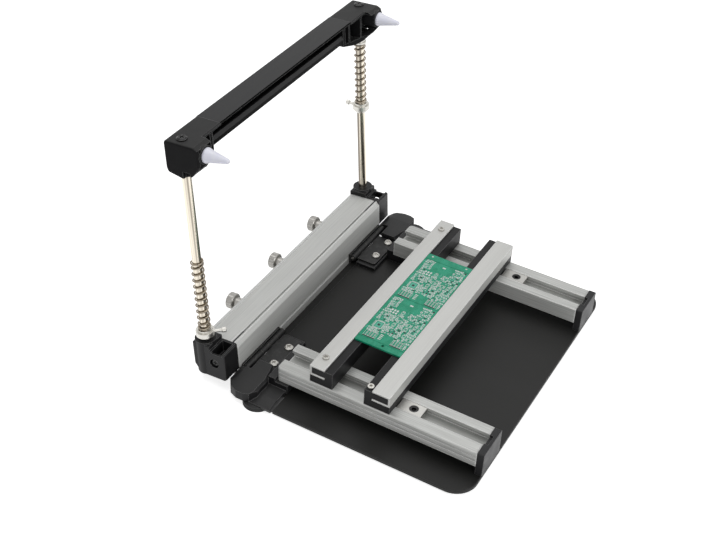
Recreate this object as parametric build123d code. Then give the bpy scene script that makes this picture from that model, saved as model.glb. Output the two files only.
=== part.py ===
from build123d import *
import os
from math import ceil, cos, pi, sin

# Manual stencil printer: a sheet base with two slotted rails, two board clamp bars that slide on
# the rails, and a stencil frame that swings on two butt hinges at the back.
# Row frame: +Z up, X across the machine, Y from the operator's side to the hinges.
# The origin is the bottom centre of the base. The swinging frame is drawn upright and then
# leaned back about its hinge pins, which is how it stands when it is open.

# Fits and clearances
GAP = 0.3            # between pieces that move past each other
FIT = 0.05           # radial clearance of a running fit
SEAT = 0.02          # between pieces that are screwed together

# Base plate and pads
PLATE_W = 294.0
PLATE_T = 3.0
PLATE_Y0 = -112.0
PLATE_Y1 = 108.5
PLATE_CORNER_R = 20.0
PAD_T = 2.0
PAD_R = 9.0
PAD_INSET = 30.0     # from the front and rear edges
PLATE_TOP = PAD_T + PLATE_T

# Rails: slotted extrusions that run front to back
RAIL_OUT = 120.0     # outer face from the middle
RAIL_W = 33.5
RAIL_H = 15.0
RAIL_LIFT = 8.0      # underside above the plate
RAIL_EDGE_R = 1.2
RAIL_END_R = 3.0
SLOT_W = 13.2
SLOT_OUT = 11.3      # outer strip beside the slot
SLOT_LIP = 3.0
SLOT_DEPTH = 8.5
SLOT_UNDERCUT = 3.0
RAIL_WALL = 1.6      # round the hollow under the slot
CAP_T = 6.3
CAP_RISE = 0.6
CAP_PLUG = 8.0
RAIL_Y0 = PLATE_Y0 + CAP_T
RAIL_Y1 = 81.0
RAIL_IN = RAIL_OUT - RAIL_W
RAIL_Z0 = PLATE_TOP + RAIL_LIFT
RAIL_Z1 = RAIL_Z0 + RAIL_H
SLOT_X1 = RAIL_OUT - SLOT_OUT
SLOT_X0 = SLOT_X1 - SLOT_W
SLOT_MID = (SLOT_X0 + SLOT_X1) / 2

# Corner blocks: a stepped moulding beside each hinge, on a round foot
CORNER_X0 = 108.6
CORNER_TOP = 15.3
CORNER_CREASE = 136.3
SKIRT_X = 150.3
SKIRT_DROP = 1.2
SKIRT_Z = 5.5
CORNER_BEVEL = 2.0
CORNER_NOTCH_X = 126.0
WING_X0 = 122.0
WING_CREASE = 137.4
WING_FALL = 11.2      # from the crease out to the wing's skirt
WING_TOP = 8.0
WING_Y0 = 70.3
NOTCH_GAP = 1.8
RAIL_SEAT_L = 12.0
LOW_WALL = 3.4       # top above the rail's underside: clears the closed clamp bar
FOOT_DISC_R = 12.8
FOOT_DISC_X = 139.8
FOOT_DISC_Y = 87.8
FOOT_DISC_H = 4.6

# Hinges
PIN_Y = 112.0
PIN_Z = 11.0
PIN_R = 1.5
BARREL_R = 3.0
HINGE_X0 = 62.5
HINGE_L = 58.0
HINGE_ROOM = 1.0
BARREL_ROOM_X = HINGE_X0 + HINGE_L + HINGE_ROOM
KNUCKLES = 5
LEAF_T = 2.0
LEAF_Y0 = 90.0
LEAF_X0 = 66.0
LEAF_X1 = 108.0
LEAF_SCREW_Y = 95.5
LEAF_SCREW_L = 8.4
LEAF_SCREW_X = (78.4, 102.6)
BLOCK_X0 = 62.5
BLOCK_X1 = 108.3
BLOCK_Y0 = 88.0
BLOCK_Y1 = 108.0
LEAF_Z0 = PIN_Z - 2.4

# Pan head screws with a cross recess
HEAD_R = 4.0
HEAD_H = 2.0
SHANK_R = 2.0

# Stencil frame, upright: depth n is measured back from the rods, height t up the rods
LEAN = 4.05          # degrees past upright when open
ROD_N_TO_PIN = 29.2
ROD_T_TO_PIN = 4.0
ROD_X = 134.0
ROD_R = 4.0
ROD_T0 = 8.0
ROD_T1 = 206.0

# Clamp bar and its jaw
BAR_X = 123.4
BAR_N0 = -24.5
BAR_N1 = 5.0
BAR_T0 = -4.5
BAR_T1 = 31.5
BAR_EDGE = 4.0
BAR_LIP_T = 4.5
GROOVE_W = 1.8
GROOVE_D = 3.2
TONGUE_X = 17.0
JAW_T = 3.2
JAW_T0 = 9.0
THUMB_X = (-69.0, 0.0, 69.0)
THUMB_T = 25.0
THUMB_R = 7.5
THUMB_HEAD = 7.0
THUMB_SHANK_R = 2.5
THUMB_FLUTES = 18
THUMB_STEM = 6.0

# End blocks that hold the rods
END_X0 = 123.5
END_X1 = 142.5
END_N0 = -24.0
END_N1 = 8.3
END_T0 = 3.0
END_T1 = 32.0
END_BOSS_R = 9.4
END_BOSS_T = 37.6
END_RIM_R = 1.0
END_HOLE_N = -12.7
END_HOLE_T = 19.0

# Collars and springs on the rods
COLLAR_R = 8.0
COLLAR_H = 9.8
COLLAR_RING_R = 6.5
COLLAR_RING_H = 2.2
COLLAR_SCREW_DROP = 3.6
LEFT_COLLAR_T = END_BOSS_T + GAP
RIGHT_COLLAR_T = 122.0
WIRE_R = 0.7
WIRE_SIDES = 8
COIL_R = 4.95        # middle of the wire from the rod's axis
CLOSED_GAP = 0.65    # between the turns of a closed end
LEFT_SPRING_T1 = 117.5
LEFT_COILS = 12
RIGHT_COILS = 11
COLLAR_SCREWS = {"left": (-50.0, 18.0), "right": (84.0, 17.0)}   # direction in plan, reach
COLLAR_SCREW_R = 1.4
KNOB_R = 2.3
KNOB_L = 4.0

# Crossbar: a top plate that overhangs a slotted beam, with a hollow block on each end
CROSS_X = 100.0
CROSS_N0 = -11.8
CROSS_N1 = 11.6
CROSS_T1 = 230.3
CROSS_PLATE = 2.3
BEAM_N0 = -3.0
BEAM_SLOT_N = 4.0
BEAM_T0 = 205.5
BEAM_LIP_T = 214.2
BEAM_SLOT_T = 217.0
BEAM_WALL = 2.0
HEADER_X1 = 142.0
HEADER_STEP_X = 124.0
HEADER_N0 = -19.6
HEADER_N1 = 12.3
HEADER_WALL = 2.4
HEADER_RIBS = (106.0, 118.5)
HEADER_BORE_T = 226.5
HEADER_BOSS_R = 6.4
HEADER_BOSS_T = 212.0
HEADER_SLOT_N = (-10.5, -3.5)
HEADER_SLOT_T = 206.5
HEADER_ROUND = 3.0
HEADER_RIM_R = 1.6
BUSH_R = 5.2
BUSH_FLANGE_R = 6.2
BUSH_FLANGE = 1.6
BUSH_T0 = 193.6
BUSH_T1 = 204.0
FOOT_X = 133.0
FOOT_T = 221.5
FOOT_R = 6.2
FOOT_N0 = -20.8
FOOT_N1 = -42.0
FOOT_TIP_R = 1.6

# Board clamp bars: a channel of aluminium round a moulded insert that carries the board
CLAMP_X = 120.0
CLAMP_TOP = 46.4
CHANNEL_H = 10.4
CHANNEL_WALL = 1.6
REAR_CLAMP_Y = (35.0, 49.0)
FRONT_CLAMP_Y = (-26.3, -9.9)
LEDGE = 7.5
INSERT_LIFT = 0.2
TONGUE_L = 12.0
BOARD_T = 1.6
BOARD_X = (-71.5, 67.5)
BOARD_SCORES = (6.1, 69.2, 131.1)   # break lines, from the left edge
SCORE_W = 0.5
SCORE_DEPTH = 0.3
BOARD_HOLE_R = 1.3
BOARD_HOLE_IN = 4.0
CLAMP_SCREWS = {"rear": (-106.0, 106.0), "front": (-114.6,)}
CLAMP_SCREW_R = 1.5
CLAMP_SCREW_L = 6.0
NUT_WING = 1.8       # how far nuts and tongues reach under the rail's lips
NUT_Y0 = -49.0
NUT_Y1 = -27.0
GRUB_Y = -40.0
GRUB_R = 4.0
GRUB_HEX_R = 2.4

PARTS = "parts"


def box(x0, x1, y0, y1, z0, z1):
    """A block between two corners."""
    return Pos((x0 + x1) / 2, (y0 + y1) / 2, (z0 + z1) / 2) * Box(abs(x1 - x0), abs(y1 - y0), abs(z1 - z0))


def rod_x(x0, x1, y, z, r):
    """A round bar along X."""
    return Pos((x0 + x1) / 2, y, z) * Rot(0, 90, 0) * Cylinder(r, abs(x1 - x0))


def rod_y(x, y0, y1, z, r):
    """A round bar along Y."""
    return Pos(x, (y0 + y1) / 2, z) * Rot(90, 0, 0) * Cylinder(r, abs(y1 - y0))


def rod_z(x, y, z0, z1, r):
    """A round bar along Z."""
    return Pos(x, y, (z0 + z1) / 2) * Cylinder(r, abs(z1 - z0))


def prism_x(points, x0, x1):
    """A section drawn in Y and Z, pulled along X."""
    wire = Polyline(*[(x0, y, z) for y, z in points], close=True)
    return extrude(make_face(wire), amount=x1 - x0, dir=(1, 0, 0))


def prism_y(points, y0, y1):
    """A section drawn in X and Z, pulled along Y."""
    wire = Polyline(*[(x, y0, z) for x, z in points], close=True)
    return extrude(make_face(wire), amount=y1 - y0, dir=(0, 1, 0))


def mirrored(shape):
    """The same piece on the other side of the machine."""
    return mirror(shape, about=Plane.YZ)


def both(name, shape):
    """A pair of handed pieces: the shape is drawn for the right side, +X."""
    save("right_" + name, shape)
    save("left_" + name, mirrored(shape))


def save(name, shape):
    export_step(shape, PARTS + "/" + name + ".step")


def up_y(n):
    """Y of a depth n in the upright frame."""
    return PIN_Y + ROD_N_TO_PIN + n


def up_z(t):
    """Z of a height t in the upright frame."""
    return PIN_Z - ROD_T_TO_PIN + t


def upright(points):
    """Points given as depth and height in the upright frame, as Y and Z."""
    return [(up_y(n), up_z(t)) for n, t in points]


def leaned(shape):
    """A piece of the upright frame, leaned back about the hinge pins."""
    return shape.rotate(Axis((0, PIN_Y, PIN_Z), (1, 0, 0)), -LEAN)


def pan_screw(length, head_r=HEAD_R, head_h=HEAD_H, shank_r=SHANK_R):
    """A pan head screw that points down, its head standing on z = 0."""
    head = Cylinder(head_r, head_h, align=(Align.CENTER, Align.CENTER, Align.MIN))
    head = chamfer(head.edges().group_by(Axis.Z)[-1], head_h * 0.45, head_r * 0.3)
    slot = Pos(0, 0, head_h) * Box(head_r * 1.1, head_r * 0.28, head_h)
    head -= slot + Rot(0, 0, 90) * slot
    return head + Pos(0, 0, -length / 2) * Cylinder(shank_r, length)


def make_base():
    y_mid = (PLATE_Y0 + PLATE_Y1) / 2
    depth = PLATE_Y1 - PLATE_Y0
    plate = Pos(0, y_mid, PAD_T + PLATE_T / 2) * Box(PLATE_W, depth, PLATE_T)
    fronts = plate.edges().filter_by(Axis.Z).group_by(Axis.Y)[0]
    plate = fillet(fronts, PLATE_CORNER_R)
    for side in (-1, 1):
        notch_x = side * CORNER_NOTCH_X
        plate -= box(notch_x, side * PLATE_W, WING_Y0 - NOTCH_GAP, PLATE_Y1 + 1, 0, PLATE_TOP + 1)
        plate -= rod_z(side * SLOT_MID, (PLATE_Y0 + RAIL_Y0) / 2, 0, PLATE_TOP + 1, SHANK_R)
        for x in LEAF_SCREW_X:
            plate -= rod_z(side * x, LEAF_SCREW_Y, 0, PLATE_TOP + 1, SHANK_R + FIT)
    top_edges = plate.edges().group_by(Axis.Z)[-1].group_by(Axis.Y)[0]
    plate = chamfer(top_edges, 0.6)
    save("base_plate", plate)
    # a pad near each corner and one in the middle, where the sheet would give
    ys = (PLATE_Y0 + PAD_INSET, PLATE_Y1 - PAD_INSET)
    pads = []
    for x, y in [(0, 0)] + [(x, y) for x in (-SLOT_MID, SLOT_MID) for y in ys]:
        pad = rod_z(x, y, 0, PAD_T, PAD_R)
        pads.append(chamfer(pad.edges().group_by(Axis.Z)[0], 0.6))
    save("base_pads", Compound(children=pads))


def rail_section():
    """The rail's outline in X and Z with its T-slot, drawn for the right side."""
    cavity0 = SLOT_X0 - SLOT_UNDERCUT
    cavity1 = SLOT_X1 + SLOT_UNDERCUT
    lip = RAIL_Z1 - SLOT_LIP
    floor = RAIL_Z1 - SLOT_DEPTH
    return [(RAIL_IN, RAIL_Z0), (RAIL_OUT, RAIL_Z0), (RAIL_OUT, RAIL_Z1), (SLOT_X1, RAIL_Z1),
            (SLOT_X1, lip), (cavity1, lip), (cavity1, floor), (cavity0, floor), (cavity0, lip),
            (SLOT_X0, lip), (SLOT_X0, RAIL_Z1), (RAIL_IN, RAIL_Z1)]


def make_rails():
    rail = prism_y(rail_section(), RAIL_Y0, RAIL_Y1)
    rear = rail.edges().filter_by(Axis.Z).group_by(Axis.Y)[-1].sort_by(Axis.X)
    rail = fillet(rear[-1:], RAIL_END_R)
    outer = [e for e in rail.edges().group_by(Axis.Z)[-1] if e.center().X > RAIL_OUT - RAIL_END_R]
    rail = fillet([e for e in outer if e.center().Y < RAIL_Y1 - 0.01], RAIL_EDGE_R)
    # two score lines on the outer face and a hollow under the slot
    for z in (RAIL_Z0 + RAIL_H * 0.35, RAIL_Z0 + RAIL_H * 0.65):
        rail -= box(RAIL_OUT - 0.4, RAIL_OUT + 1, RAIL_Y0 - 1, RAIL_Y1 + 1, z - 0.3, z + 0.3)
    hollow_z = RAIL_Z0 + RAIL_WALL
    hollow_top = RAIL_Z1 - SLOT_DEPTH - RAIL_WALL
    rail -= box(SLOT_X0, SLOT_X1, RAIL_Y0 - 1, RAIL_Y1 + 1, hollow_z, hollow_top)
    both("rail", rail)
    cap_top = RAIL_Z1 + CAP_RISE
    cap = box(RAIL_IN, RAIL_OUT, PLATE_Y0, RAIL_Y0 - SEAT, PLATE_TOP, cap_top)
    cap = fillet(cap.edges().filter_by(Axis.Y).group_by(Axis.Z)[-1], 1.0)
    # a finger notch over the slot, and the plug that holds the rail
    cap -= box(SLOT_X0 + 1, SLOT_X1 - 1, PLATE_Y0 + 3.0, RAIL_Y0, RAIL_Z1 - 2.4, cap_top + 1)
    cap += box(SLOT_X0 + GAP, SLOT_X1 - GAP, RAIL_Y0 - 1, RAIL_Y0 + CAP_PLUG,
               hollow_z + GAP, hollow_top - GAP)
    cap -= rod_z(SLOT_MID, (PLATE_Y0 + RAIL_Y0) / 2, PLATE_TOP - 1, RAIL_Z0, SHANK_R - FIT)
    both("rail_cap", cap)


def plan(points, z0, z1):
    """An outline drawn in X and Y, pulled up from z0 to z1."""
    wire = Polyline(*[(x, y, z0) for x, y in points], close=True)
    return extrude(make_face(wire), amount=z1 - z0, dir=(0, 0, 1))


def make_corners():
    rear = PIN_Y + 3.5
    skirt = [(-34.3, -26.2), (-23.3, -28.7), (-9.3, -28.3), (-1.9, -24.5), (0.0, -19.5), (0.0, -12.5),
             (-2.9, -5.5), (-10.8, 0.0)]
    outline = [(CORNER_X0, rear - 23.5)] + [(SKIRT_X + x, rear + y) for x, y in skirt] + [
        (WING_X0, rear), (WING_X0, rear - 9.5), (CORNER_X0, rear - 9.5)]
    # the cap: flat on top out to a crease, then a gentle fall to the skirt
    cap = plan(outline, SKIRT_Z, CORNER_TOP + 2)
    cap = fillet(cap.edges().filter_by(Axis.Z).group_by(Axis.X)[-1], 2.0)
    roof = [(CORNER_X0 - 5, 0), (SKIRT_X + 5, 0), (SKIRT_X + 5, CORNER_TOP - SKIRT_DROP * 1.4),
            (CORNER_CREASE, CORNER_TOP), (CORNER_X0 - 5, CORNER_TOP)]
    cap = cap & prism_y(roof, WING_Y0, rear + 5)
    front = [e for e in cap.edges() if e.center().Z > CORNER_TOP - 1 and e.center().Y < rear - 26.5
             and e.center().X > SKIRT_X - 32]
    cap = chamfer(front, CORNER_BEVEL)
    fall = [(rear - 5.0, CORNER_TOP + 0.01), (rear + 5, CORNER_TOP - 4.2), (rear + 5, CORNER_TOP + 5),
            (rear - 5.0, CORNER_TOP + 5)]
    cap -= prism_x(fall, CORNER_X0 - 5, SKIRT_X + 5)
    base = [(-7.3, -27.5), (-5.8, -15.5), (-9.3, -7.5), (-12.3, -1.0)]
    under = [(CORNER_X0, rear - 27.5)] + [(SKIRT_X + x, rear + y) for x, y in base] + [
        (WING_X0, rear - 1), (WING_X0, rear - 9.5), (CORNER_X0, rear - 9.5)]
    body = cap + plan(under, 0, SKIRT_Z + 1)
    # the wing in front of the cap carries on the skirt at a lower level
    edge = WING_CREASE + WING_FALL
    wing = [(WING_X0, 0.6), (edge - 4.1, 0.6), (edge - 0.6, 2.6), (edge, 5.4), (WING_CREASE, WING_TOP),
            (WING_X0, WING_TOP)]
    wing = prism_y(wing, WING_Y0, rear - 23.5)
    nose = [e for e in wing.edges() if abs(e.center().Y - WING_Y0) < 0.01 and e.center().X > WING_CREASE]
    wing = fillet([e for e in nose if e.center().Z > WING_TOP / 2], 0.8)
    body += wing
    # the seat under the rail, the low wall behind it and the web to the hinge block
    body += box(RAIL_IN, WING_X0 + 1, RAIL_Y1 - RAIL_SEAT_L, RAIL_Y1 + 1, PLATE_TOP, RAIL_Z0)
    body += box(RAIL_IN, WING_X0 + 1, RAIL_Y1 + SEAT, BLOCK_Y0 - SEAT, PLATE_TOP, RAIL_Z0 + LOW_WALL)
    body += box(CORNER_X0, WING_X0 + 1, BLOCK_Y0 - 1, rear - 22.5, PLATE_TOP, RAIL_Z0)
    # room for the hinge barrel, for the base plate that the block stands on and for the foot
    body -= box(0, BARREL_ROOM_X, PIN_Y - BARREL_R - 1.2, PIN_Y + 20, 0, 40)
    body -= box(0, CORNER_NOTCH_X + SEAT, WING_Y0 - 5, PLATE_Y1 + SEAT, -1, PLATE_TOP)
    body -= rod_z(FOOT_DISC_X, FOOT_DISC_Y, -1, FOOT_DISC_H + SEAT, FOOT_DISC_R + FIT)
    both("corner_block", body)
    feet = []
    for side in (-1, 1):
        disc = rod_z(side * FOOT_DISC_X, FOOT_DISC_Y, 0, FOOT_DISC_H, FOOT_DISC_R)
        for i in range(2):
            z = FOOT_DISC_H * (i + 1) / 3
            ring = rod_z(side * FOOT_DISC_X, FOOT_DISC_Y, z - 0.3, z + 0.3, FOOT_DISC_R + 1)
            disc -= ring - rod_z(side * FOOT_DISC_X, FOOT_DISC_Y, z - 1, z + 1, FOOT_DISC_R - 0.4)
        feet.append(disc)
    save("corner_feet", Compound(children=feet))


def make_hinge_blocks():
    block = box(BLOCK_X0, BLOCK_X1, BLOCK_Y0, BLOCK_Y1, PLATE_TOP, LEAF_Z0 - SEAT)
    block = chamfer(block.edges().group_by(Axis.Z)[-1].group_by(Axis.Y)[0], 0.8)
    for x in LEAF_SCREW_X:
        block -= rod_z(x, LEAF_SCREW_Y, 0, PLATE_TOP + 20, SHANK_R + FIT)
    both("hinge_block", block)


def knuckle_spans(which):
    """X spans of the base's knuckles (odd places) or the frame's (even places)."""
    pitch = HINGE_L / KNUCKLES
    return [(HINGE_X0 + i * pitch + GAP / 2, HINGE_X0 + (i + 1) * pitch - GAP / 2)
            for i in range(KNUCKLES) if i % 2 == which]


def make_hinges():
    base = box(LEAF_X0, LEAF_X1, LEAF_Y0, PIN_Y - BARREL_R - GAP, LEAF_Z0, LEAF_Z0 + LEAF_T)
    base = fillet(base.edges().filter_by(Axis.Z).group_by(Axis.Y)[0], 2.0)
    for x in LEAF_SCREW_X:
        base -= rod_z(x, LEAF_SCREW_Y, 0, 40, SHANK_R + FIT)
    for x0, x1 in knuckle_spans(1):
        base += rod_x(x0, x1, PIN_Y, PIN_Z, BARREL_R)
        base += box(x0, x1, PIN_Y - BARREL_R - 1, PIN_Y, LEAF_Z0, LEAF_Z0 + LEAF_T)
    base -= rod_x(HINGE_X0 - 1, HINGE_X0 + HINGE_L + 1, PIN_Y, PIN_Z, PIN_R + FIT)
    both("base_leaf", base)

    face_y = up_y(BAR_N0) - SEAT
    leaf = box(HINGE_X0, HINGE_X0 + HINGE_L, face_y - LEAF_T, face_y, up_z(BAR_T0) + 0.4, PIN_Z + BARREL_R)
    # the leaf is cut back round the base's knuckles and keeps its own
    for x0, x1 in knuckle_spans(1):
        leaf -= rod_x(x0 - GAP, x1 + GAP, PIN_Y, PIN_Z, BARREL_R + GAP)
    for x0, x1 in knuckle_spans(0):
        leaf += rod_x(x0, x1, PIN_Y, PIN_Z, BARREL_R)
        leaf += box(x0, x1, PIN_Y, face_y - 0.5, PIN_Z - BARREL_R, PIN_Z)
    leaf -= rod_x(HINGE_X0 - 1, HINGE_X0 + HINGE_L + 1, PIN_Y, PIN_Z, PIN_R + FIT)
    both("frame_leaf", leaned(leaf))

    pin = rod_x(HINGE_X0 - 0.5, HINGE_X0 + HINGE_L + 0.5, PIN_Y, PIN_Z, PIN_R)
    both("hinge_pin", pin)
    seat_z = LEAF_Z0 + LEAF_T + SEAT
    screws = []
    for side in (-1, 1):
        turned = Rot(0, 0, 20 * side) * pan_screw(LEAF_SCREW_L)
        screws += [Pos(side * x, LEAF_SCREW_Y, seat_z) * turned for x in LEAF_SCREW_X]
    save("leaf_screws", Compound(children=screws))


def make_clamp_bar():
    y0, y1 = up_y(BAR_N0), up_y(BAR_N1)
    z0, z1 = up_z(BAR_T0), up_z(BAR_T1)
    lip = up_z(BAR_LIP_T)
    groove0, groove1, groove_z = y0 + BAR_EDGE, y0 + BAR_EDGE + GROOVE_W, z1 - GROOVE_D
    top = [(y1, z1), (groove1, z1), (groove1, groove_z), (groove0, groove_z), (groove0, z1)]
    front = [(y0 + BAR_EDGE * 0.7, z1), (y0, z1 - BAR_EDGE)]
    step = [(y0, lip + 1.2), (y0 + 1.2, lip + 0.4), (y0 + 1.2, lip - 0.4), (y0, lip - 1.2)]
    section = [(y0, z0), (y1, z0)] + top + front + step
    bar = prism_x(section, -BAR_X, BAR_X)
    # two hollow chambers run the length of the extrusion
    mid = (y0 + y1) / 2
    for a, b in ((y0 + 3.0, mid - 1.2), (mid + 1.2, y1 - 2.4)):
        bar -= box(-BAR_X - 1, BAR_X + 1, a, b, z0 + 2.4, z1 - 5.6)
    # threads for the thumb screws and a stiffening wall behind each
    for x in THUMB_X:
        bar += box(x - 5, x + 5, mid + 1.0, y1 - 1, z0 + 2, z1 - 5)
        bar -= rod_y(x, mid + 2, y1 + 1, up_z(THUMB_T), THUMB_SHANK_R + FIT)
    save("clamp_bar", leaned(bar))

    jaw_y0 = y1 + SEAT
    jaw = box(-BAR_X, BAR_X, jaw_y0, jaw_y0 + JAW_T, up_z(JAW_T0), z1)
    jaw = fillet(jaw.edges().filter_by(Axis.X).group_by(Axis.Y)[-1].group_by(Axis.Z)[-1], 1.4)
    for x in THUMB_X:
        jaw -= rod_y(x, jaw_y0 - 1, jaw_y0 + JAW_T + 1, up_z(THUMB_T), THUMB_SHANK_R + FIT)
    save("clamp_jaw", leaned(jaw))

    head_y = jaw_y0 + JAW_T + GAP
    for i, x in enumerate(THUMB_X):
        z = up_z(THUMB_T)
        screw = rod_y(x, mid + 4, head_y + 1, z, THUMB_SHANK_R)
        screw += rod_y(x, head_y, head_y + THUMB_STEM, z, THUMB_R * 0.62)
        head = rod_y(x, head_y + THUMB_STEM, head_y + THUMB_STEM + THUMB_HEAD, z, THUMB_R)
        head = chamfer(head.edges().filter_by(GeomType.CIRCLE), 0.8)
        for k in range(THUMB_FLUTES):
            a = 2 * pi * k / THUMB_FLUTES
            fx, fz = x + THUMB_R * 1.02 * cos(a), z + THUMB_R * 1.02 * sin(a)
            head -= rod_y(fx, head_y, head_y + 12, fz, 0.55)
        save("thumb_screw_%d" % (i + 1), leaned(screw + head))


def make_end_blocks():
    n0, n1, t0, t1 = END_N0, END_N1, END_T0, END_T1
    side = [(n0, t0 + 2), (n0 + 2, t0), (n1 - 6, t0), (n1, t0 + 9), (n1, t1 + 3), (n1 - 1, t1 + 4),
            (-9.0, t1 + 4), (-9.0, t1), (n0 + 1, t1), (n0, t1 - 1)]
    block = rounded_rim(prism_x(upright(side), END_X0, END_X1), END_X1, END_RIM_R)
    block += rod_z(ROD_X, up_y(0), up_z(t0 + 1), up_z(END_BOSS_T), END_BOSS_R) & box(
        END_X0, END_X1 + 2, up_y(-30), up_y(30), 0, 90)
    # pocket in the top between the rod's boss and the front wall
    block -= box(END_X0 + 2.4, END_X1 - 1.6, up_y(n0 + 2.6), up_y(-11.0), up_z(t1 - 11), up_z(t1 + 5))
    block -= box(END_X1 - 1.8, END_X1 + 3, up_y(n0 + 2.6), up_y(-11.0), up_z(t1 - 2.4), up_z(t1 + 5))
    # rod bore and the screw hole into the end of the clamp bar
    block -= rod_z(ROD_X, up_y(0), up_z(ROD_T0), up_z(90), ROD_R)
    block -= rod_x(END_X1 - 3.5, END_X1 + 3, up_y(END_HOLE_N), up_z(END_HOLE_T), HEAD_R + 0.6)
    block -= rod_x(END_X0 - 1, END_X1, up_y(END_HOLE_N), up_z(END_HOLE_T), SHANK_R + FIT)
    # a tongue in the groove of the clamp bar
    groove_y = up_y(BAR_N0 + BAR_EDGE)
    block += box(END_X0 - TONGUE_X, END_X0 + 1, groove_y + GAP, groove_y + GROOVE_W - GAP,
                 up_z(BAR_T1 - GROOVE_D) + GAP, up_z(BAR_T1 - 0.4))
    both("end_block", leaned(block))
    screw = Pos(END_X1 - 3.5 + SEAT, up_y(END_HOLE_N), up_z(END_HOLE_T)) * Rot(0, 90, 0) * pan_screw(14.0)
    save("end_screws", Compound(children=[leaned(screw), leaned(mirrored(screw))]))
    bar = rod_z(ROD_X, up_y(0), up_z(ROD_T0 + 0.1), up_z(ROD_T1), ROD_R)
    bar = chamfer(bar.edges().filter_by(GeomType.CIRCLE), 0.6)
    both("rod", leaned(bar))


def collar(x, t):
    """A stop collar: a body that tapers down to the rod's boss and a narrower ring on top."""
    body_t = t + COLLAR_H - COLLAR_RING_H
    body = rod_z(x, up_y(0), up_z(t), up_z(body_t), COLLAR_R)
    body = chamfer(body.edges().group_by(Axis.Z)[0], 3.2, 2.6)
    body += rod_z(x, up_y(0), up_z(body_t), up_z(t + COLLAR_H), COLLAR_RING_R)
    return body - rod_z(x, up_y(0), 0, 400, ROD_R + FIT)


def collar_screw(x, t, angle, reach):
    """The cross screw of a collar and its hole."""
    level = up_z(t + COLLAR_H - COLLAR_SCREW_DROP - COLLAR_SCREW_R)
    place = Pos(x, up_y(0), level) * Rot(0, 0, angle) * Rot(0, 90, 0)
    out = (Align.CENTER, Align.CENTER, Align.MIN)
    tip = ROD_R + 0.4
    knob = Pos(0, 0, reach - KNOB_L) * Cylinder(KNOB_R, KNOB_L, align=out)
    knob = chamfer(knob.edges().filter_by(GeomType.CIRCLE), 0.5)
    screw = Pos(0, 0, tip) * Cylinder(COLLAR_SCREW_R, reach - KNOB_L - tip, align=out)
    return place * (screw + knob), place * Cylinder(COLLAR_SCREW_R + FIT, 2 * reach, align=out)


def spring(x, t0, t1, coils):
    """A coil spring between two heights: one unbroken tube with a closed turn at each end."""
    closed = 2 * WIRE_R + CLOSED_GAP
    pitch = (t1 - t0 - 2 * WIRE_R - 2 * closed) / (coils - 2)
    points, tangents = [], []
    z = 0.0
    for i in range(coils * 4 + 1):
        a = pi / 2 * i
        before = closed if i <= 4 or i > coils * 4 - 4 else pitch
        after = closed if i < 4 or i >= coils * 4 - 4 else pitch
        points.append(Vector(COIL_R * cos(a), COIL_R * sin(a), z))
        tangents.append(Vector(-sin(a), cos(a), (before + after) / (4 * pi * COIL_R)).normalized())
        z += after / 4
    # both ends leave level and straight for one tube diameter
    tangents[0] = tangents[-1] = Vector(0, 1, 0)
    tail = Vector(0, 2 * WIRE_R, 0)
    route = [Line(points[0] - tail, points[0])]
    for a, b, ta, tb in zip(points, points[1:], tangents, tangents[1:]):
        route += biarc(a, b, ta, tb)
    route.append(Line(points[-1], points[-1] + tail))
    path = Wire(route)
    tube = sweep(Plane(origin=path @ 0, z_dir=path % 0) * RegularPolygon(WIRE_R, WIRE_SIDES), path=path)
    print("spring of", coils, "coils: least gap to itself", round(coil_gap(path), 2), "mm")
    return Pos(x, up_y(0), up_z(t0) + WIRE_R) * tube


def biarc(a, b, ta, tb):
    """Two tangent arcs from a to b that leave along ta and arrive along tb."""
    v = b - a
    t = ta + tb
    k = 2 * (1 - ta.dot(tb))
    vt = v.dot(t)
    d = (-vt + (vt * vt + k * v.dot(v)) ** 0.5) / k
    mid = (a + b + (ta - tb) * d) * 0.5
    first = TangentArc(a, mid, tangent=ta)
    return [first, TangentArc(mid, b, tangent=first % 1)]


def coil_gap(path):
    """The least space between the wire and itself a turn on, from points along its middle."""
    count = 900
    length = path.length
    points = [path @ (i / count) for i in range(count + 1)]
    apart = ceil(pi * COIL_R / (length / count))
    least = min((p - q).length for i, p in enumerate(points) for q in points[i + apart::3])
    return least - 2 * WIRE_R


def make_collars():
    for name, x, t in (("left", -ROD_X, LEFT_COLLAR_T), ("right", ROD_X, RIGHT_COLLAR_T)):
        screw, bore = collar_screw(x, t, *COLLAR_SCREWS[name])
        save(name + "_collar", leaned(collar(x, t) - bore))
        save(name + "_collar_screw", leaned(screw))
    for name, x, t0, t1, coils in (("left", -ROD_X, LEFT_COLLAR_T, LEFT_SPRING_T1, LEFT_COILS),
                                   ("right", ROD_X, RIGHT_COLLAR_T, BUSH_T0 - SEAT, RIGHT_COILS)):
        save(name + "_spring", leaned(spring(x, t0 + COLLAR_H + SEAT, t1, coils)))


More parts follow.
